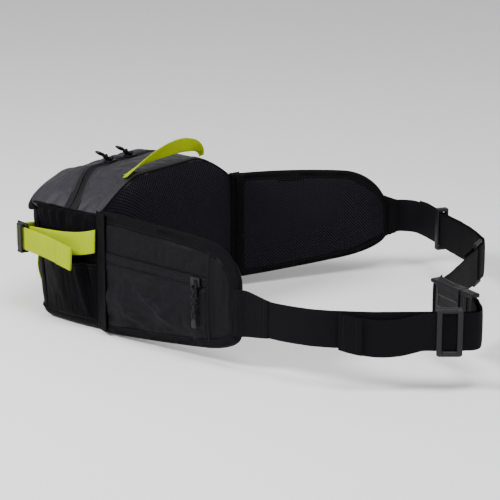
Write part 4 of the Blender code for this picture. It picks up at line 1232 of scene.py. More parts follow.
def build_handle():
    """The lime grab handle, bunched at both ends and standing twisted."""
    seat_y = BACK_Y - 0.003
    ends = [Vector((x, seat_y, float(crown(x, BACK_Y)) + 0.0016)) for x in (0.062, -0.062)]
    count = 61
    path = interpolate_bezier(ends[0], ends[0] + Vector((-0.026, 0, 0.0115)),
                              ends[1] + Vector((-0.004, 0, 0.0165)), ends[1], count)
    across, widths = [], []
    for i, t in enumerate(np.linspace(0, 1, count)):
        lean = math.radians(25 + 50 * math.sin(math.pi * t**1.4))
        width = 0.018 * (0.36 + 0.64 * max(0.0, math.sin(math.pi * t)) ** 0.7)
        path[i].z += width / 2 * math.sin(lean)
        across.append((0, math.cos(lean), math.sin(lean)))
        widths.append(width)
    obj = ribbon("grab_handle_webbing", path, widths, 0.0017, LIME, across, 0.001, 0.0004, 91)
    finish_piece(obj, "grab_handle", "grab_handle")
    rows = []
    for end in ends:
        way = -1 if end.x > 0 else 1
        normal = unit([0.35 * -way, 0.5, 0.8])
        for dx in (0.0012, 0.0030, 0.0048):
            a = np.array([end.x + way * dx, seat_y - 0.0040, end.z + 0.0030])
            rows.append(straight_row(a, a + [0, 0.0075, 0.0028], normal))
    sew("grab_handle_bartacks", rows, LIME_THREAD, "grab_handle", 0.0016, 0.0004)


# ---------------------------------------------------------------- wings

WING_EDGE = 0.0025
WING_PILLOW = 0.0045
WING_ROOT_GAP = 0.003


def wing_frame(name):
    """A wing's own axes: x along it from its root, y up, z out of its outer face."""
    spec = WING[name]
    direction = Vector((*spec["tip"], 0)) - Vector((*spec["root"], 0))
    return plan_frame(spec["root"], 0.0, direction, spec["side"])


def wing_edges(name, s):
    """Bottom and top of a wing at distances from its root."""
    spec = WING[name]
    share = s / WING_LENGTH
    end = np.clip((s - (WING_LENGTH - spec["tip_radius"])) / spec["tip_radius"], 0, 1)
    round_off = 1 - np.sqrt(1 - end**2)
    root_top, tip_top = spec["top"]
    root_bottom, tip_bottom = spec["bottom"]
    top = root_top + (tip_top - root_top) * share**2 - 0.8 * spec["tip_radius"] * round_off
    bottom = root_bottom + (tip_bottom - root_bottom) * share**1.3 + 0.3 * spec["tip_radius"] * round_off
    return bottom, top


def placed(axes, local):
    """Points from a piece's own axes into the frame."""
    matrix = np.array(axes)
    return np.asarray(local, float) @ matrix[:3, :3].T + matrix[:3, 3]


def facing(grid, uv, way):
    """Turn a grid over, and what goes with it, if its normals don't face the given way."""
    middle = grid_normals(grid)[grid.shape[0] // 2, grid.shape[1] // 2]
    if middle @ np.asarray(way, float) < 0:
        return grid[::-1], uv[::-1]
    return grid, uv


class Face:
    """Heights of a pad's face above a wing's mid-plane, read from the pad's mesh."""

    def __init__(self, pad, axes, side):
        mesh = pad.data
        self.inverse = axes.inverted()
        local = placed(self.inverse, coordinates(pad))
        polygons = [list(p.vertices) for p in mesh.polygons]
        self.tree = BVHTree.FromPolygons([tuple(v) for v in local], polygons)
        self.side = side

    def height(self, s, z, default):
        """Signed height; side 1 is the outer face, -1 the wearer's."""
        out = np.array(default, float)
        for index in np.ndindex(s.shape):
            start = Vector((s[index], z[index], 0.03 * self.side))
            hit = self.tree.ray_cast(start, Vector((0, 0, -self.side)), 0.06)[0]
            if hit is not None:
                out[index] = hit.z
        return out


def pad_height(name, s, z):
    """Half the thickness of a wing's pad before it is blown up."""
    bottom, top = wing_edges(name, s)
    u = 2 * s / WING_LENGTH - 1
    v = 2 * (z - bottom) / np.maximum(top - bottom, 1e-6) - 1
    swell = (1 - np.clip(np.abs(u), 0, 1) ** 8) * (1 - np.clip(np.abs(v), 0, 1) ** 4)
    return WING_EDGE + WING_PILLOW * swell


def build_pad(name, axes):
    """The stuffed body of a wing, blown up as cloth with its rim held."""
    us = np.linspace(0, 1, 70)
    s = WING_ROOT_GAP + (WING_LENGTH - WING_ROOT_GAP) * np.sin(us * math.pi / 2) ** 0.9
    shares = np.linspace(0, 1, 40)
    bottom, top = wing_edges(name, s)
    z = bottom[:, None] + (top - bottom)[:, None] * shares[None, :]
    s = np.broadcast_to(s[:, None], z.shape)
    half = pad_height(name, s, z) * 0.9
    outer = placed(axes, np.stack([s, z, half], -1))
    inner = placed(axes, np.stack([s, z, -half], -1))
    outer, inner = facing(outer, inner, np.array(axes.col[2])[:3])
    body = shell(f"wing_pad_stuffed_{name}", outer, 0.001, BLACK)
    set_coordinates(body, np.concatenate([outer.reshape(-1, 3), inner.reshape(-1, 3)]))
    inverse = axes.inverted()

    def held(points):
        local = placed(inverse, points)
        low, high = wing_edges(name, np.clip(local[:, 0], 0, WING_LENGTH - 1e-4))
        near = np.minimum(local[:, 1] - low, high - local[:, 1])
        near = np.minimum(near, np.minimum(local[:, 0] - WING_ROOT_GAP, WING_LENGTH - local[:, 0]))
        return near < 0.0085

    inflate(body, voxel=0.0042, pressure=4.0, cap=0.0022, held=held)
    body.data.materials.clear()
    body.data.materials.append(BLACK)
    wing_uv(body, inverse)
    return body


def wing_uv(obj, inverse):
    """Weave coordinates along and up the wing, for a mesh that has none."""
    mesh = obj.data
    local = placed(inverse, coordinates(obj))
    corner = np.empty(len(mesh.loops), int)
    mesh.loops.foreach_get("vertex_index", corner)
    layer = mesh.uv_layers.get("cloth") or mesh.uv_layers.new(name="cloth")
    layer.data.foreach_set("uv", local[corner][:, :2].astype(np.float32).ravel())


def build_wing(name):
    """A wing: its pad, both faces, its rim, its belt anchor and the strips that join it to the bag."""
    axes = wing_frame(name)
    body = f"{name}_wing"
    way = np.array(axes.col[2])[:3]
    pad = build_pad(name, axes)
    finish_piece(pad, body, f"wing_pad_{name}")
    outer, inner = Face(pad, axes, 1), Face(pad, axes, -1)
    build_outer_skin(name, axes, body, way, outer)
    build_lining(name, axes, body, way, inner)
    build_wing_binding(name, axes, body, way, outer, inner)
    build_anchor_tab(name, axes, body, way)
    build_wing_root(name, axes, way)


def build_wing_root(name, axes, way):
    """The two strips that sew a wing to the bag, one on each face; they ride on no body."""
    side = WING[name]["side"]
    bottom, top = (float(v) for v in wing_edges(name, np.array(0.006)))
    z = np.linspace(bottom + 0.0015, top + 0.0012, 70)
    t = np.linspace(0, 1, 14)
    starts = {"outer": (1, side * 0.1088, BACK_Y - 0.0022), "inner": (-1, side * 0.1060, BACK_Y + 0.0022)}
    for face_name, (sign, x, y) in starts.items():
        end = placed(axes, np.stack([np.full_like(z, 0.0112), z, np.full_like(z, sign * 0.0082)], -1))
        begin = np.stack([np.full_like(z, x), np.full_like(z, y), z], -1)
        grid = begin[:, None] * (1 - t)[None, :, None] + end[:, None] * t[None, :, None]
        swell = np.sin(math.pi * t) ** 0.8
        pucker = 0.0006 * noise(np.stack([z, z * 0], -1), (0.006, 1), 161) + 0.0005
        groove = -0.0010 * np.exp(-(((t - 0.30) / 0.07) ** 2))
        grid = grid + way * sign * ((swell[None, :] * pucker[:, None]) + groove[None, :])[..., None]
        uv = np.stack(np.broadcast_arrays(z[:, None], t[None, :] * 0.014), -1)
        grid, uv = facing(grid, uv, way * sign)
        strip = shell(f"wing_root_{face_name}_{name}", grid, 0.0012, BINDING, uv)
        finish_blend(strip, "pack_body", f"{name}_wing", (x, y + 0.001, (bottom + top) / 2), end[35])


def panel_grid(name, s_values, low, high, rows, face, lift):
    """A grid on a wing's face between two heights; returns wing coordinates."""
    share = np.linspace(0, 1, rows)
    z = low[:, None] + (high - low)[:, None] * share[None, :]
    s = np.broadcast_to(s_values[:, None], z.shape).copy()
    base = face.height(s, z, pad_height(name, s, z))
    return np.stack([s, z, base + lift(s, z)], -1)


def soft_edges(s, z, s_low, s_high, z_low, z_high, reach=0.006):
    """1 inside a wing panel, falling to 0 at its four edges."""
    a = smooth_step(0, reach, s - s_low) * smooth_step(0, reach, s_high - s)
    return a * smooth_step(0, reach, z - z_low) * smooth_step(0, reach, z_high - z)


def build_outer_skin(name, axes, body, way, face):
    """Pocket cloth, upper cloth, tip cloth, the zip's band and teeth, and the stitching."""
    seed = 100 if name == "right" else 140
    s_end, zip_end, cut_in = 0.1560, 0.1535, 0.0065
    s = np.arange(0.0085, s_end, 0.0016)
    bottom, top = wing_edges(name, s)

    def add_panel(part, values, low, high, rows, lift, material, *nodes):
        """One cloth panel of the outer face."""
        local = panel_grid(name, values, low, high, rows, face, lift)
        grid, uv = facing(placed(axes, local), local[..., :2], way)
        finish_piece(shell(f"wing_{part}_cloth_{name}", grid, SKIN, material, uv), body, *nodes)

    def lower_lift(a, z):
        flat = np.stack([a, z], -1)
        soft = soft_edges(a, z, 0.008, s_end, np.interp(a, s, bottom + 0.007), 0.0815)
        folds = 0.0017 * noise(np.stack([a + 0.6 * z, z - 0.6 * a], -1), (0.030, 0.012), seed)
        folds += 0.0009 * noise(flat, (0.030, 0.022), seed + 1)
        fold_line = 0.0024 * ridge(a, z, (0.054, 0.064), (0.102, 0.034), 0.0035)
        second = 0.0014 * ridge(a, z, (0.030, 0.040), (0.070, 0.020), 0.004)
        crumple = 0.0007 * crease(flat, (0.014, 0.010), seed + 2)
        tight = np.exp(-(((a - zip_end) / 0.0016) ** 2)) * 0.0012
        return 0.0012 + soft * (folds + fold_line + second + crumple + 0.0012) - tight

    below_zip = np.full_like(s, WING_ZIP_Z - 0.0050)
    add_panel("pocket", s, bottom + cut_in, below_zip, 52, lower_lift, POCKET_CLOTH, f"wing_pocket_{name}")

    def upper_lift(a, z):
        flat = np.stack([a, z], -1)
        soft = soft_edges(a, z, 0.008, s_end, WING_ZIP_Z + 0.005, np.interp(a, s, top - 0.007))
        folds = 0.0015 * noise(flat, (0.030, 0.014), seed + 5)
        folds = folds + 0.0007 * crease(flat, (0.013, 0.009), seed + 6)
        return 0.0011 + soft * (folds + 0.0006)

    s_up = s[top - cut_in > WING_ZIP_Z + 0.0075]
    above_zip = np.full_like(s_up, WING_ZIP_Z + 0.0050)
    add_panel("upper", s_up, above_zip, wing_edges(name, s_up)[1] - cut_in, 24, upper_lift, BLACK)

    s_tip = np.linspace(zip_end, 0.1838, 24)
    low_tip, high_tip = wing_edges(name, s_tip)

    def tip_lift(a, z):
        flat = np.stack([a, z], -1)
        soft = smooth_step(0, 0.006, a - zip_end) * smooth_step(0, 0.008, 0.1838 - a)
        fold = 0.0011 * noise(np.stack([a, z * 0.6], -1), (0.010, 0.030), seed + 12)
        edge = 0.0010 * (1 - smooth_step(0.0008, 0.0030, a - zip_end))
        groove = 0.0011 * np.exp(-(((a - zip_end - 0.0042) / 0.0009) ** 2))
        return 0.0016 + edge - groove + soft * (fold + 0.0004 * crease(flat, (0.012, 0.012), seed + 13))

    add_panel("tip", s_tip, low_tip + cut_in, high_tip - cut_in, 60, tip_lift, BLACK)
    build_wing_zip(name, axes, body, way, face, zip_end, seed)


BAND_HALF = np.array([0.1, 0.4, 0.9, 2.0, 3.8, 4.6, 5.1, 5.5, 6.0, 6.4]) * MM
BAND_LIFTS = np.array([1.5, 1.9, 2.0, 1.9, 1.9, 1.5, 0.7, 1.2, 1.9, 1.6]) * MM


def build_wing_zip(name, axes, body, way, face, zip_end, seed):
    """The band over the wing zip with its lips, the teeth between them, and the wing's stitching."""
    zs = np.concatenate([-BAND_HALF[::-1], BAND_HALF])
    lifts = np.concatenate([BAND_LIFTS[::-1], BAND_LIFTS])
    s_zip = np.arange(0.0085, zip_end + 0.0035, 0.0012)
    ss, zz = np.broadcast_arrays(s_zip[:, None], WING_ZIP_Z + zs[None, :])
    rims = (slice(None), [0, -1])
    base = face.height(ss[rims], zz[rims], pad_height(name, ss[rims], zz[rims]))
    base = base[:, :1] + (base[:, 1:] - base[:, :1]) * ((zs - zs[0]) / (zs[-1] - zs[0]))[None, :]
    wobble = 0.0002 * noise(np.stack([s_zip, s_zip * 0], -1), (0.016, 1), seed + 9)[:, None]
    after = smooth_step(zip_end - 0.001, zip_end + 0.002, ss)
    height = base + lifts[None, :] * (1 - after) + wobble
    local = np.stack([ss, zz + wobble, height], -1)
    grid, uv = facing(placed(axes, local), local[..., :2], way)
    band = shell(f"wing_zip_band_{name}", grid, 0.0010, POCKET_CLOTH, uv)
    finish_piece(band, body, f"wing_zip_coil_{name}")

    s_coil = 0.010 + (zip_end - 0.011) * np.linspace(0, 1, 900)
    seat = np.interp(s_coil, s_zip, base[:, 10])
    turn = s_coil / 0.0013 * 2 * math.pi
    local = np.stack([s_coil, WING_ZIP_Z + 0.00075 * np.sin(turn), seat + 0.0013 + 0.0004 * np.cos(turn)], -1)
    finish_piece(tube(f"wing_zip_teeth_{name}", placed(axes, local), 0.00025, COIL, 5), body)

    rows = []
    for z_row, column in ((WING_ZIP_Z + 0.0050, 17), (WING_ZIP_Z - 0.0050, 2)):
        a = np.linspace(0.011, 0.150, 60)
        z = np.full_like(a, z_row)
        h = np.interp(a, s_zip, base[:, column]) + 0.0026
        points = placed(axes, np.stack([a, z, h], -1))
        rows.append((points, np.broadcast_to(way, points.shape)))
    for a_row in (zip_end + 0.0012, zip_end + 0.0064):
        row_low, row_high = (float(v) for v in wing_edges(name, np.array(a_row)))
        z = np.linspace(row_low + 0.009, row_high - 0.009, 60)
        a = np.full_like(z, a_row)
        h = face.height(a, z, pad_height(name, a, z)) + 0.0022
        points = placed(axes, np.stack([a, z, h + 0.0002], -1))
        rows.append((points, np.broadcast_to(way, points.shape)))
    sew(f"wing_face_stitching_{name}", rows, THREAD, body, 0.0024, 0.0010, 0.00028)


def build_lining(name, axes, body, way, face):
    """Air mesh over the wearer's side, with its holes pressed in."""
    step = MESH_PITCH / 4
    s_values = np.arange(0.0065, 0.1842, step)
    bottom, top = wing_edges(name, s_values)
    inset = 0.0065 + 0.004 * smooth_step(0.13, 0.18, s_values)
    low, high = bottom + inset, top - inset
    rows = int(0.118 / step)
    share = np.linspace(0, 1, rows)
    z = low[:, None] + (high - low)[:, None] * share[None, :]
    s = np.broadcast_to(s_values[:, None], z.shape).copy()
    coarse = (slice(None, None, 4), slice(None, None, 4))
    base = face.height(s[coarse], z[coarse], -pad_height(name, s[coarse], z[coarse]))
    base = stretch(base, s.shape)
    flat = np.stack([s, z], -1)
    near = np.minimum(np.minimum(z - low[:, None], high[:, None] - z), np.minimum(s - 0.0065, 0.1842 - s))
    calm = smooth_step(0.0, 0.003, near)
    waves = 0.0006 * noise(flat, (0.04, 0.03), 171) * calm
    dip = 0.0008 * lattice_dip(s, z) * calm
    local = np.stack([s, z, base - 0.0014 - 0.0011 * calm - waves + dip], -1)
    grid, uv = facing(placed(axes, local), flat, -way)
    finish_piece(shell(f"wing_lining_knit_{name}", grid, 0.0013, MESH, uv), body, f"wing_mesh_lining_{name}")


def stretch(values, shape):
    """A coarse grid of numbers spread over a finer one."""
    rows = np.linspace(0, values.shape[0] - 1, shape[0])
    cols = np.linspace(0, values.shape[1] - 1, shape[1])
    r = np.floor(rows).astype(int).clip(0, values.shape[0] - 2)
    c = np.floor(cols).astype(int).clip(0, values.shape[1] - 2)
    fr, fc = (rows - r)[:, None], (cols - c)[None, :]
    a, b = values[np.ix_(r, c)], values[np.ix_(r + 1, c)]
    d, e = values[np.ix_(r, c + 1)], values[np.ix_(r + 1, c + 1)]
    return a * (1 - fr) * (1 - fc) + b * fr * (1 - fc) + d * (1 - fr) * fc + e * fr * fc


def wing_rim(name):
    """The wing's outline from the top of the root round to the bottom, evenly spaced."""
    s = WING_ROOT_GAP + (WING_LENGTH - 0.0001 - WING_ROOT_GAP) * np.sin(np.linspace(0, 1, 160) * math.pi / 2)
    bottom, top = wing_edges(name, s)
    rim = np.concatenate([np.stack([s, top], -1), np.stack([s, bottom], -1)[::-1]])
    rim = np.concatenate([rim, np.zeros((len(rim), 1))], axis=1)
    path, gone = resample(rim, 0.0018)
    return relax(path, 6), gone


def build_wing_binding(name, axes, body, way, outer, inner):
    """Tape folded over the rim, puckered along its stitching on both faces."""
    rim, gone = wing_rim(name)
    along = tangents(rim)
    away = np.stack([-along[:, 1], along[:, 0], np.zeros(len(rim))], -1)
    width = 0.0095
    profile = []
    for face, sign in ((outer, 1), (inner, -1)):
        edge = []
        for inset in (width, width - 0.0006, width - 0.0022, width - 0.0045, 0.0020, 0.0004):
            at = rim - away * inset
            base = face.height(at[:, 0], at[:, 1], sign * np.full(len(rim), WING_EDGE))
            limit = sign * (WING_EDGE + 0.55 * inset)
            base = np.where(np.abs(base) > np.abs(limit) + 0.001, limit, base)
            flat = np.stack([gone, np.full_like(gone, inset * 4)], -1)
            pucker = 0.00045 * np.sin(gone / 0.0036 * 2 * math.pi + inset * 300)
            pucker = pucker + 0.0006 * noise(flat, (0.008, 0.03), 181)
            groove = -0.0006 * math.exp(-(((inset - (width - 0.0022)) / 0.0008) ** 2))
            height = 0.0021 + groove + (pucker if inset > 0.003 else 0.4 * pucker)
            if inset >= width:
                height = np.full_like(gone, 0.0009)
            edge.append(np.concatenate([at[:, :2], (base + sign * height)[:, None]], axis=1))
        profile.append(edge)
    tip = rim + away * 0.0016
    outer_rows, inner_rows = profile
    rows = outer_rows + [tip + [0, 0, 0.0018], tip + away * 0.0005, tip - [0, 0, 0.0018]] + inner_rows[::-1]
    local = relax_columns(np.stack(rows, axis=1))
    grid = placed(axes, local)
    v = distances(local[20])
    uv = np.stack(np.broadcast_arrays(gone[:, None], v[None, :]), -1)
    normal = grid_normals(grid)[len(grid) // 8, 3]
    if normal @ way < 0:
        grid, uv = grid[::-1], uv[::-1]
    obj = shell(f"wing_binding_tape_{name}", grid, 0.0008, BINDING, uv)
    finish_piece(obj, body, f"wing_binding_{name}")
    stitch_rows = []
    for column, sign in ((2, 1), (-3, -1)):
        points = placed(axes, local[:, column] + [0, 0, sign * 0.0002])
        stitch_rows.append((points, np.broadcast_to(way * sign, points.shape)))
    if name == "left":
        points = placed(axes, local[:, -4] - [0, 0, 0.0002])
        stitch_rows.append((points, np.broadcast_to(-way, points.shape)))
    sew(f"wing_binding_stitching_{name}", stitch_rows, THREAD, body, 0.0024, 0.0011, 0.00030)


def relax_columns(grid):
    """Even a grid out along its first way."""
    out = grid.copy()
    for _ in range(2):
        out[1:-1] = out[1:-1] * 0.6 + (out[:-2] + out[2:]) * 0.2
    return out


def build_anchor_tab(name, axes, body, way):
    """The ribbed tab between a wing's tip and the belt webbing."""
    reach = WING[name]["anchor"]
    count = 40
    t = np.linspace(0, 1, count)
    s = WING_LENGTH - 0.0105 + (reach + 0.0115) * t
    from_tip = np.clip((s - WING_LENGTH) / reach, 0, 1)
    half = 0.0245 - (0.049 - BELT_WIDTH) / 2 * from_tip
    thick = 0.0019
    over = 1 - smooth_step(WING_LENGTH - 0.002, WING_LENGTH + 0.010, s)
    rows = np.linspace(-1, 1, 36)
    z = BELT_Z + half[:, None] * rows[None, :]
    ss = np.broadcast_to(s[:, None], z.shape)
    hem = 0.0005 * (np.abs(rows) > 0.93)[None, :]
    ribs = 0.00022 * np.sin(ss / 0.0042 * 2 * math.pi)
    wavy = 0.0007 * noise(np.stack([ss, z], -1), (0.02, 0.014), 191)
    top = thick + over[:, None] * 0.0036 + hem + ribs + wavy
    grid, uv = facing(placed(axes, np.stack([ss, z, top], -1)), np.stack([ss, z], -1), way)
    finish_piece(shell(f"wing_anchor_tab_{name}", grid, 0.0036, BELT, uv), body, f"wing_tip_anchor_{name}")
    stitch = []
    for share in (0.80, 0.92):
        k = int(share * (count - 1))
        points = placed(axes, np.stack([ss[k], z[k], top[k] + 0.0002], -1)[2:-2])
        stitch.append((points, np.broadcast_to(way, points.shape)))
    sew(f"wing_anchor_stitching_{name}", stitch, THREAD, body)


# ---------------------------------------------------------------- belt


def anchor_end(name):
    """Where the belt webbing starts at a wing's anchor, and its heading there."""
    spec = WING[name]
    root = Vector((*spec["root"], BELT_Z))
    along = (Vector((*spec["tip"], BELT_Z)) - root).normalized()
    return root + along * (WING_LENGTH + spec["anchor"] + 0.0003), along


def half_turn(path_end, heading, radius, steps=12):
    """Points of a half circle that carries on from a path's end and turns to its right."""
    along = Vector((heading[0], heading[1], 0)).normalized()
    right = Vector((along.y, -along.x, 0))
    centre = path_end + right * radius
    turns = [math.pi * k / steps for k in range(1, steps)]
    return [centre - right * radius * math.cos(a) + along * radius * math.sin(a) for a in turns]


def offset_plan(path, distance):
    """Shift a plan path to its right-hand side, keeping its heights."""
    moved = []
    for i, point in enumerate(path):
        along = path[min(i + 1, len(path) - 1)] - path[max(i - 1, 0)]
        moved.append(point + Vector((along.y, -along.x, 0)).normalized() * distance)
    return moved


def webbing_piece(name, path, seed):
    return ribbon(name, path, BELT_WIDTH, 0.0017, BELT, None, 0.0014, 0.0006, seed, 4)


def belt_stitch_row(at, normal):
    """One row of stitching across the belt webbing."""
    reach = Vector((0, 0, 0.017))
    return straight_row(at - reach, at + reach, normal)


def hem_piece(name, points, normal, body, seed):
    """The folded end of a webbing tail, with two rows of stitching across it."""
    hem = ribbon(name, points, BELT_WIDTH * 0.985, 0.0015, BELT, None, 0.0014, 0.0003, seed)
    finish_piece(hem, body)
    places = [points[0].lerp(points[-1], share) + normal * 0.0010 for share in (0.25, 0.8)]
    rows = [belt_stitch_row(at, normal) for at in places]
    sew(f"{name}_stitching", rows, THREAD, body, 0.0024, 0.0009)


TAIL_SAG = 0.007
TRIGLIDE_RIGHT = (0.031, 0.433)
TRIGLIDE_HEADING = (-0.62, 0.78)
TRIGLIDE_LEFT = (-0.172, 0.330)
KEEPER = (-0.268, 0.220)
BUCKLE_START = (-0.0430, 0.3670)
BUCKLE_END = (-0.0210, 0.4280)
BUCKLE_BAR_GAP = 64.8


def build_belt_right():
    """Right webbing: out to the buckle's male half, round its bar and back as the hanging tail."""
    start, along = anchor_end("right")
    bar = Vector((*BUCKLE_END, BELT_Z))
    glide = Vector((*TRIGLIDE_RIGHT, BELT_Z))
    heading = Vector((*TRIGLIDE_HEADING, 0)).normalized()
    right = Vector((heading.y, -heading.x, 0))
    radius = LAYER_STEP / 2
    glide_in = glide - right * radius
    main = interpolate_bezier(start, start + along * 0.065, glide_in - heading * 0.060,
                              glide_in - heading * 0.013, 46)
    arrival = Vector((-0.80, -0.60, 0))
    at_bar = bar - Vector((arrival.y, -arrival.x, 0)) * radius
    lead_out = glide_in + heading * 0.013
    loop = interpolate_bezier(lead_out, lead_out + heading * 0.022, at_bar - arrival * 0.026, at_bar, 46)
    main = list(main) + list(loop)
    outer = list(reversed(offset_plan(main, LAYER_STEP)))
    tail = outer[:-19]
    hanging = tail[len(loop) + 5:]
    for i, point in enumerate(hanging):
        share = (i + 1) / len(hanging)
        point.z -= TAIL_SAG * math.sin(math.pi * share)
    under_bar = heading * 0.0100
    near_bar = lambda points: min(range(len(points)), key=lambda k: (points[k] - glide - under_bar).length)
    split, split_back = near_bar(main), near_bar(tail)
    strap = webbing_piece("belt_webbing_right", main[:split + 3], 201)
    finish_blend(strap, "right_wing", "belt_front", start + along * 0.003, start + along * 0.016,
                 "belt_strap_right")
    path = main[split - 1:] + half_turn(at_bar, arrival, radius) + tail[:split_back + 2]
    turned = webbing_piece("belt_webbing_loop_right", path, 203)
    finish_blend(turned, "belt_front", "buckle_male", glide + under_bar, bar + Vector((0.006, 0.005, 0)))
    hanging_end = [point + right * 0.0001 for point in tail[split_back - 1:]]
    finish_piece(webbing_piece("belt_tail_right", hanging_end, 204), "belt_front")
    end, before = tail[-1], tail[-6]
    away = Vector(((end - before).y, -(end - before).x, 0)).normalized() * -1
    if away.x < 0:
        away = -away
    points = [tail[k] + away * 0.0016 for k in range(len(tail) - 7, len(tail))]
    hem_piece("belt_tail_hem_right", points, away, "belt_front", 205)


def buckle_frame():
    """The buckle's own axes, along the belt from its left bar."""
    start, end = Vector((*BUCKLE_START, 0)), Vector((*BUCKLE_END, 0))
    return plan_frame(BUCKLE_START, BELT_Z, end - start)


def build_belt_left():
    """Left webbing: a front piece on the buckle and a rear piece, adjusted at a tri-glide."""
    glide = Vector((*TRIGLIDE_LEFT, BELT_Z))
    buckle_bar = Vector((*BUCKLE_START, BELT_Z))
    radius = LAYER_STEP / 2
    heading = (buckle_bar - glide).normalized()
    right = Vector((heading.y, -heading.x, 0))
    near_bar = glide + heading * 0.001
    lead = near_bar - right * radius
    run_end = buckle_bar - right * radius
    run = [lead + (run_end - lead) * t for t in np.linspace(0.02, 1, 40)]
    first_turn = [near_bar + (right * math.cos(a) - heading * math.sin(a)) * radius
                  for a in np.linspace(0, math.pi, 13)]
    short = near_bar + right * radius + heading * 0.026
    lead_in = [short.lerp(first_turn[0], t) for t in np.linspace(0, 0.96, 12)]
    back = buckle_bar + right * radius
    lead_back = [back - heading * 0.028 * t for t in np.linspace(0, 1, 14)]
    path = [*lead_in, *first_turn, *run, *half_turn(run_end, heading, radius), *lead_back]
    finish_piece(webbing_piece("belt_webbing_left_front", path, 211), "belt_front", "belt_strap_left_front")
    places = (short - heading * 0.004, lead_back[-1] + heading * 0.004, lead_back[-1] + heading * 0.007)
    rows = [belt_stitch_row(at + right * 0.0011, right) for at in places]
    sew("belt_webbing_left_stitching", rows, THREAD, "belt_front", 0.0024, 0.0009)

    start, along = anchor_end("left")
    centre_bar = glide - heading * 0.0086
    keeper = Vector((*KEEPER, BELT_Z))
    end_in = centre_bar + right * radius
    through = Vector((0.52, 0.85, 0))
    middle = interpolate_bezier(start, start + along * 0.024, keeper - through * 0.036, keeper, 33)
    approach = interpolate_bezier(keeper, keeper + through * 0.030, end_in - heading * 0.040,
                                  end_in - heading * 0.013, 33)
    main = list(middle[:-1]) + list(approach) + [end_in]
    turn = [centre_bar + (right * math.cos(a) + heading * math.sin(a)) * radius
            for a in np.linspace(0, math.pi, 13)][1:-1]
    outer = list(reversed(offset_plan(main, -LAYER_STEP)))
    tail = outer[:53]
    path = main + turn + tail
    finish_piece(webbing_piece("belt_webbing_left_rear", path, 221), "left_wing", "belt_strap_left_rear")


# ---------------------------------------------------------------- mouldings and pulls


def rod(axes, first, last, radius):
    """A round bar between two places, for soften(), in a piece's own axes. Millimetres."""
    start, end = Vector(first) * MM, Vector(last) * MM
    along = (end - start).normalized()
    side = along.orthogonal().normalized()
    other = along.cross(side)
    verts, quads = [], []
    count = 12
    for point in (start, end):
        for i in range(count):
            angle = 2 * math.pi * i / count
            verts.append(axes @ (point + (side * math.cos(angle) + other * math.sin(angle)) * radius * MM))
    for i in range(count):
        j = (i + 1) % count
        quads.append([i, count + i, count + j, j])
    quads.append(list(range(count)))
    quads.append([count + i for i in reversed(range(count))])
    if axes.to_3x3().determinant() > 0:
        quads = [q[::-1] for q in quads]
    return verts, quads


def lock_frame(side):
    """A ladder lock's own axes; the left one's are the right one's mirrored."""
    axes = plan_frame(LOCK_PLACE[:2], LOCK_PLACE[2], Vector(STRAP_HEADING).normalized())
    return Matrix.Scale(-1, 4, (1, 0, 0)) @ axes if side < 0 else axes


def build_hardware():
    """Buckle, tri-glides, keeper, ladder locks and sliders, rounded from their solids with moulded detail."""
    build_buckle()
    build_triglides()
    for label, side in SIDES:
        build_ladder_lock(label, side)
        build_sliders(label)


def build_buckle():
    """Both halves of the buckle with their rails and ribs, and the prongs."""
    belt = buckle_frame()
    half = 22.2
    female = []
    for b in (-1, 1):
        female.append(rod(belt, (8.5, b * 24, 0), (44, b * 20.5, 0), 3.4))
    female.append(rod(belt, (0, -22, 0), (0, 22, 0), 1.9))
    for b in (-half, half):
        female.append(rod(belt, (2, b, 0), (10, b, 0), 2.4))
    female += [
        block(belt, (44.5, 0, 5.6), (1.3, 19, 0.9)),
        block(belt, (44.5, 0, -5.6), (1.3, 19, 0.9)),
        block(belt, (12.5, 0, 5.9), (1.2, 18, 0.8)),
        block(belt, (27, 0, 6.1), (9, 1.0, 0.5)),
    ]
    for b, c, radius in ((-12, 4.6, 2.6), (12, 4.6, 2.6), (0, 4.6, 2.8), (-12, -4.6, 2.6), (12, -4.6, 2.6)):
        female.append(rod(belt, (12, b, c), (43, b, c), radius))
    soften("buckle_female", "belt_front", 0.00052, 5, female)
    male = [rod(belt, (BUCKLE_BAR_GAP, -22, 0), (BUCKLE_BAR_GAP, 22, 0), 1.8)]
    male += [rod(belt, (56, b, 0), (BUCKLE_BAR_GAP, b, 0), 2.4) for b in (-22.3, 22.3)]
    male += [block(belt, (a, 0, 5.1), (0.8, 19, 0.6)) for a in (50, 53.5)]
    soften("buckle_male", "buckle_male", 0.00052, 5, male)
    for name in ("upper", "lower"):
        soften(f"buckle_prong_{name}", f"prong_{name}", 0.0004, 4)


def build_triglides():
    """Both tri-glides and the strap keeper."""
    glide = plan_frame(TRIGLIDE_RIGHT, BELT_Z, Vector((*TRIGLIDE_HEADING, 0)).normalized())
    bars = [rod(glide, (-10.2, b, 3.4), (10.2, b, 3.4), 3.2) for b in (-21.8, 21.8)]
    for a in (-10.2, 10.2):
        bars.append(rod(glide, (a, -22, 5.2), (a, 22, 5.2), 2.2))
        bars.append(block(glide, (a * 0.98, 0, 5.6), (2.6, 22.8, 1.5)))
    soften("triglide_right", "triglide_right", 0.00045, 4, bars)
    glide = plan_frame(TRIGLIDE_LEFT, BELT_Z, Vector((*BUCKLE_START, 0)) - Vector((*TRIGLIDE_LEFT, 0)))
    bars = [rod(glide, (-18.7, b, 0), (2.2, b, 0), 2.0) for b in (-22.2, 22.2)]
    bars.append(rod(glide, (-18.7, -22, 0), (-18.7, 22, 0), 1.6))
    soften("triglide_left", "left_wing", 0.00045, 4, bars)
    soften("strap_keeper", "strap_keeper", 0.00045, 4)


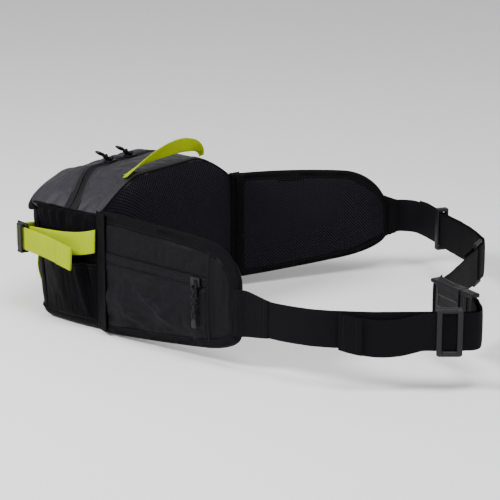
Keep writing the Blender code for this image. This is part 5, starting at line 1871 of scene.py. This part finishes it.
def build_ladder_lock(label, side):
    """A ladder lock with its bars, cheeks and ribbed lip."""
    axes = lock_frame(side)
    bars = [rod(axes, (1.0, b, 0), (18.4, b, 0), 1.7) for b in (-14.6, 14.6)]
    bars.append(rod(axes, (0.9, -14.5, 0), (0.9, 14.5, 0), 1.6))
    bars += [block(axes, (6.0, b, -2.9), (4.6, 1.2, 4.4)) for b in (-14.8, 14.8)]
    bars.append(block(axes, (5.2, 0, -6.2), (3.6, 15.6, 0.9)))
    bars.append(rod(axes, (2.2, -15.4, -6.6), (2.2, 15.4, -6.6), 1.2))
    bars.append(rod(axes, (8.4, -15.4, -6.5), (8.4, 15.4, -6.5), 1.1))
    soften(f"ladder_lock_{label}", f"ladder_lock_{label}", 0.0004, 3, bars)


def build_sliders(label):
    """One side's main slider with its raised hood, and its wing slider."""
    x = MAIN_PULL_X[label]
    seat = plan_frame((x, ZIP_Y), crown(x, ZIP_Y) + 0.0001, (1, 0))
    hood = [block(seat, (0, 0, 2.2), (6.6, 5.4, 0.9)), block(seat, (5.6, 0, 2.6), (1.4, 3.4, 1.1))]
    soften(f"main_zip_slider_{label}", f"zip_slider_{label}", 0.00026, 3, hood)
    soften(f"wing_zip_slider_{label}", f"wing_slider_{label}", 0.00026, 3)


GRIP_RINGS = ((0, 1.6, 1.2), (0.7, 2.6, 1.8), (2.2, 3.0, 1.9), (5.0, 3.2, 1.7), (8.0, 3.5, 1.5),
              (9.1, 3.3, 1.2), (9.5, 2.6, 0.6))
PULL_LOOP = ((8.2, 0.7), (6.0, 2.0), (3.0, 2.5), (0.6, 1.9))


def build_pull(node, body, pivot, stem, across, length, seed):
    """A braided cord looped through the bail, knotted, with a moulded end. Sizes along it in millimetres."""
    stem, across = unit(np.asarray(stem, float)), unit(np.asarray(across, float))
    thick = np.cross(stem, across)
    at = lambda a, b, c=0.0: pivot + (stem * a + across * b + thick * c) * MM
    loop = [*PULL_LOOP, (-0.5, 0.0), *((a, -b) for a, b in reversed(PULL_LOOP))]
    loop = catmull([at(a, b) for a, b in loop])
    finish_piece(tube(f"{node}_loop", loop, 0.00125, CORD, 12, 0.0005), body, node)
    end = length - GRIP_RINGS[-1][0]
    is_long = length > 30
    wander = 0.9 if is_long else 0.3
    for k, way in enumerate((-1, 1)):
        t = np.linspace(0, 1, 40)
        a = 7.4 + (end + 2.0 - 7.4) * t
        b = way * (0.95 + 0.45 * np.sin(t * 9 + k)) + wander * np.sin(t * 5.0 + seed)
        c = 0.8 * np.sin(t * 7.0 + seed + 2.2 * k) * np.sin(math.pi * t)
        path = np.stack([at(x, y, z) for x, y, z in zip(a, b, c)])
        finish_piece(tube(f"{node}_cord_{k + 1}", path, 0.00120, CORD, 12, 0.0006), body)
    knots = (8.0, 15.5, 22.5, 30.0) if is_long else (8.0, 12.6)
    for k, middle in enumerate(knots):
        turns = np.linspace(0, 4.4 * math.pi, 60)
        knot = [at(middle + 1.4 * math.cos(q), 1.9 * math.cos(q + k), 1.6 * math.sin(q)) for q in turns]
        finish_piece(tube(f"{node}_knot_{k + 1}", knot, 0.00165 if k == 0 else 0.00125, CORD, 10), body)
    path = np.stack([at(end + a, 0) for a, _, _ in GRIP_RINGS])
    profile = np.stack([round_profile(2 * w, 2 * h, 20, 0.6) * MM for _, w, h in GRIP_RINGS])
    side, face = np.broadcast_to(across, path.shape), np.broadcast_to(thick, path.shape)
    grip = sweep(f"{node}_grip", path, side, face, profile, ACETAL)
    bevel = grip.modifiers.new("soft_edges", "SUBSURF")
    bevel.levels = bevel.render_levels = 2
    evaluated(grip)
    finish_piece(grip, body)


def catmull(points, per=8):
    """A smooth curve through points."""
    points = [np.asarray(p, float) for p in points]
    padded_points = [2 * points[0] - points[1], *points, 2 * points[-1] - points[-2]]
    out = []
    for a, b, c, d in zip(padded_points, padded_points[1:], padded_points[2:], padded_points[3:]):
        for t in np.linspace(0, 1, per, endpoint=False):
            out.append(0.5 * (2 * b + (c - a) * t + (2 * a - 5 * b + 4 * c - d) * t**2
                              + (3 * b - a - 3 * c + d) * t**3))
    out.append(points[-1])
    return np.array(out)


def build_pulls():
    """The four zip pulls, each straddling its slider's bail."""
    rest = math.radians(30)
    for label, x in MAIN_PULL_X.items():
        pivot = np.array([x, ZIP_Y, crown(x, ZIP_Y) + 0.0036])
        stem = (math.cos(rest), 0, math.sin(rest))
        build_pull(f"main_zip_pull_{label}", f"zip_pull_{label}", pivot, stem, (0, 1, 0), 24, x * 100)
    for label in ("right", "left"):
        axes = wing_frame(label)
        u, v = 2 * WING_SLIDER_S / WING_LENGTH - 1, 2 * 0.66 - 1
        seat = WING_EDGE + WING_PILLOW * (1 - u**8) * (1 - v**4) + 0.0004 + 0.0015 + 0.0035
        pivot = np.array(axes @ Vector((WING_SLIDER_S, WING_ZIP_Z, seat)))
        build_pull(f"wing_zip_pull_{label}", f"wing_pull_{label}", pivot, (0, 0, -1),
                   np.array(axes.col[0])[:3], 48, 1.3)


# ---------------------------------------------------------------- cut sizes, gone through but not used


PADDED = ("wing_pad_stuffed", "back_mesh_panel")


def declare_sheets():
    """Go through the cut size of every cloth and webbing piece but the padded ones; nothing is done with
    them.
    """
    for name, (width, length, area) in CUTS.items():
        if name.startswith(PADDED):
            continue


add_camera()
add_studio()
build_front()
build_floor_panel()
build_top()
build_zip()
build_front_piping()
build_back_mesh()
build_handle()
build_wing("right")
build_wing("left")
build_belt_right()
build_belt_left()
build_hardware()
build_pulls()
for label, side in SIDES:
    build_side_wall(label, side)
    build_side_pocket(label, side)
    build_lime_side(label, side)
declare_sheets()
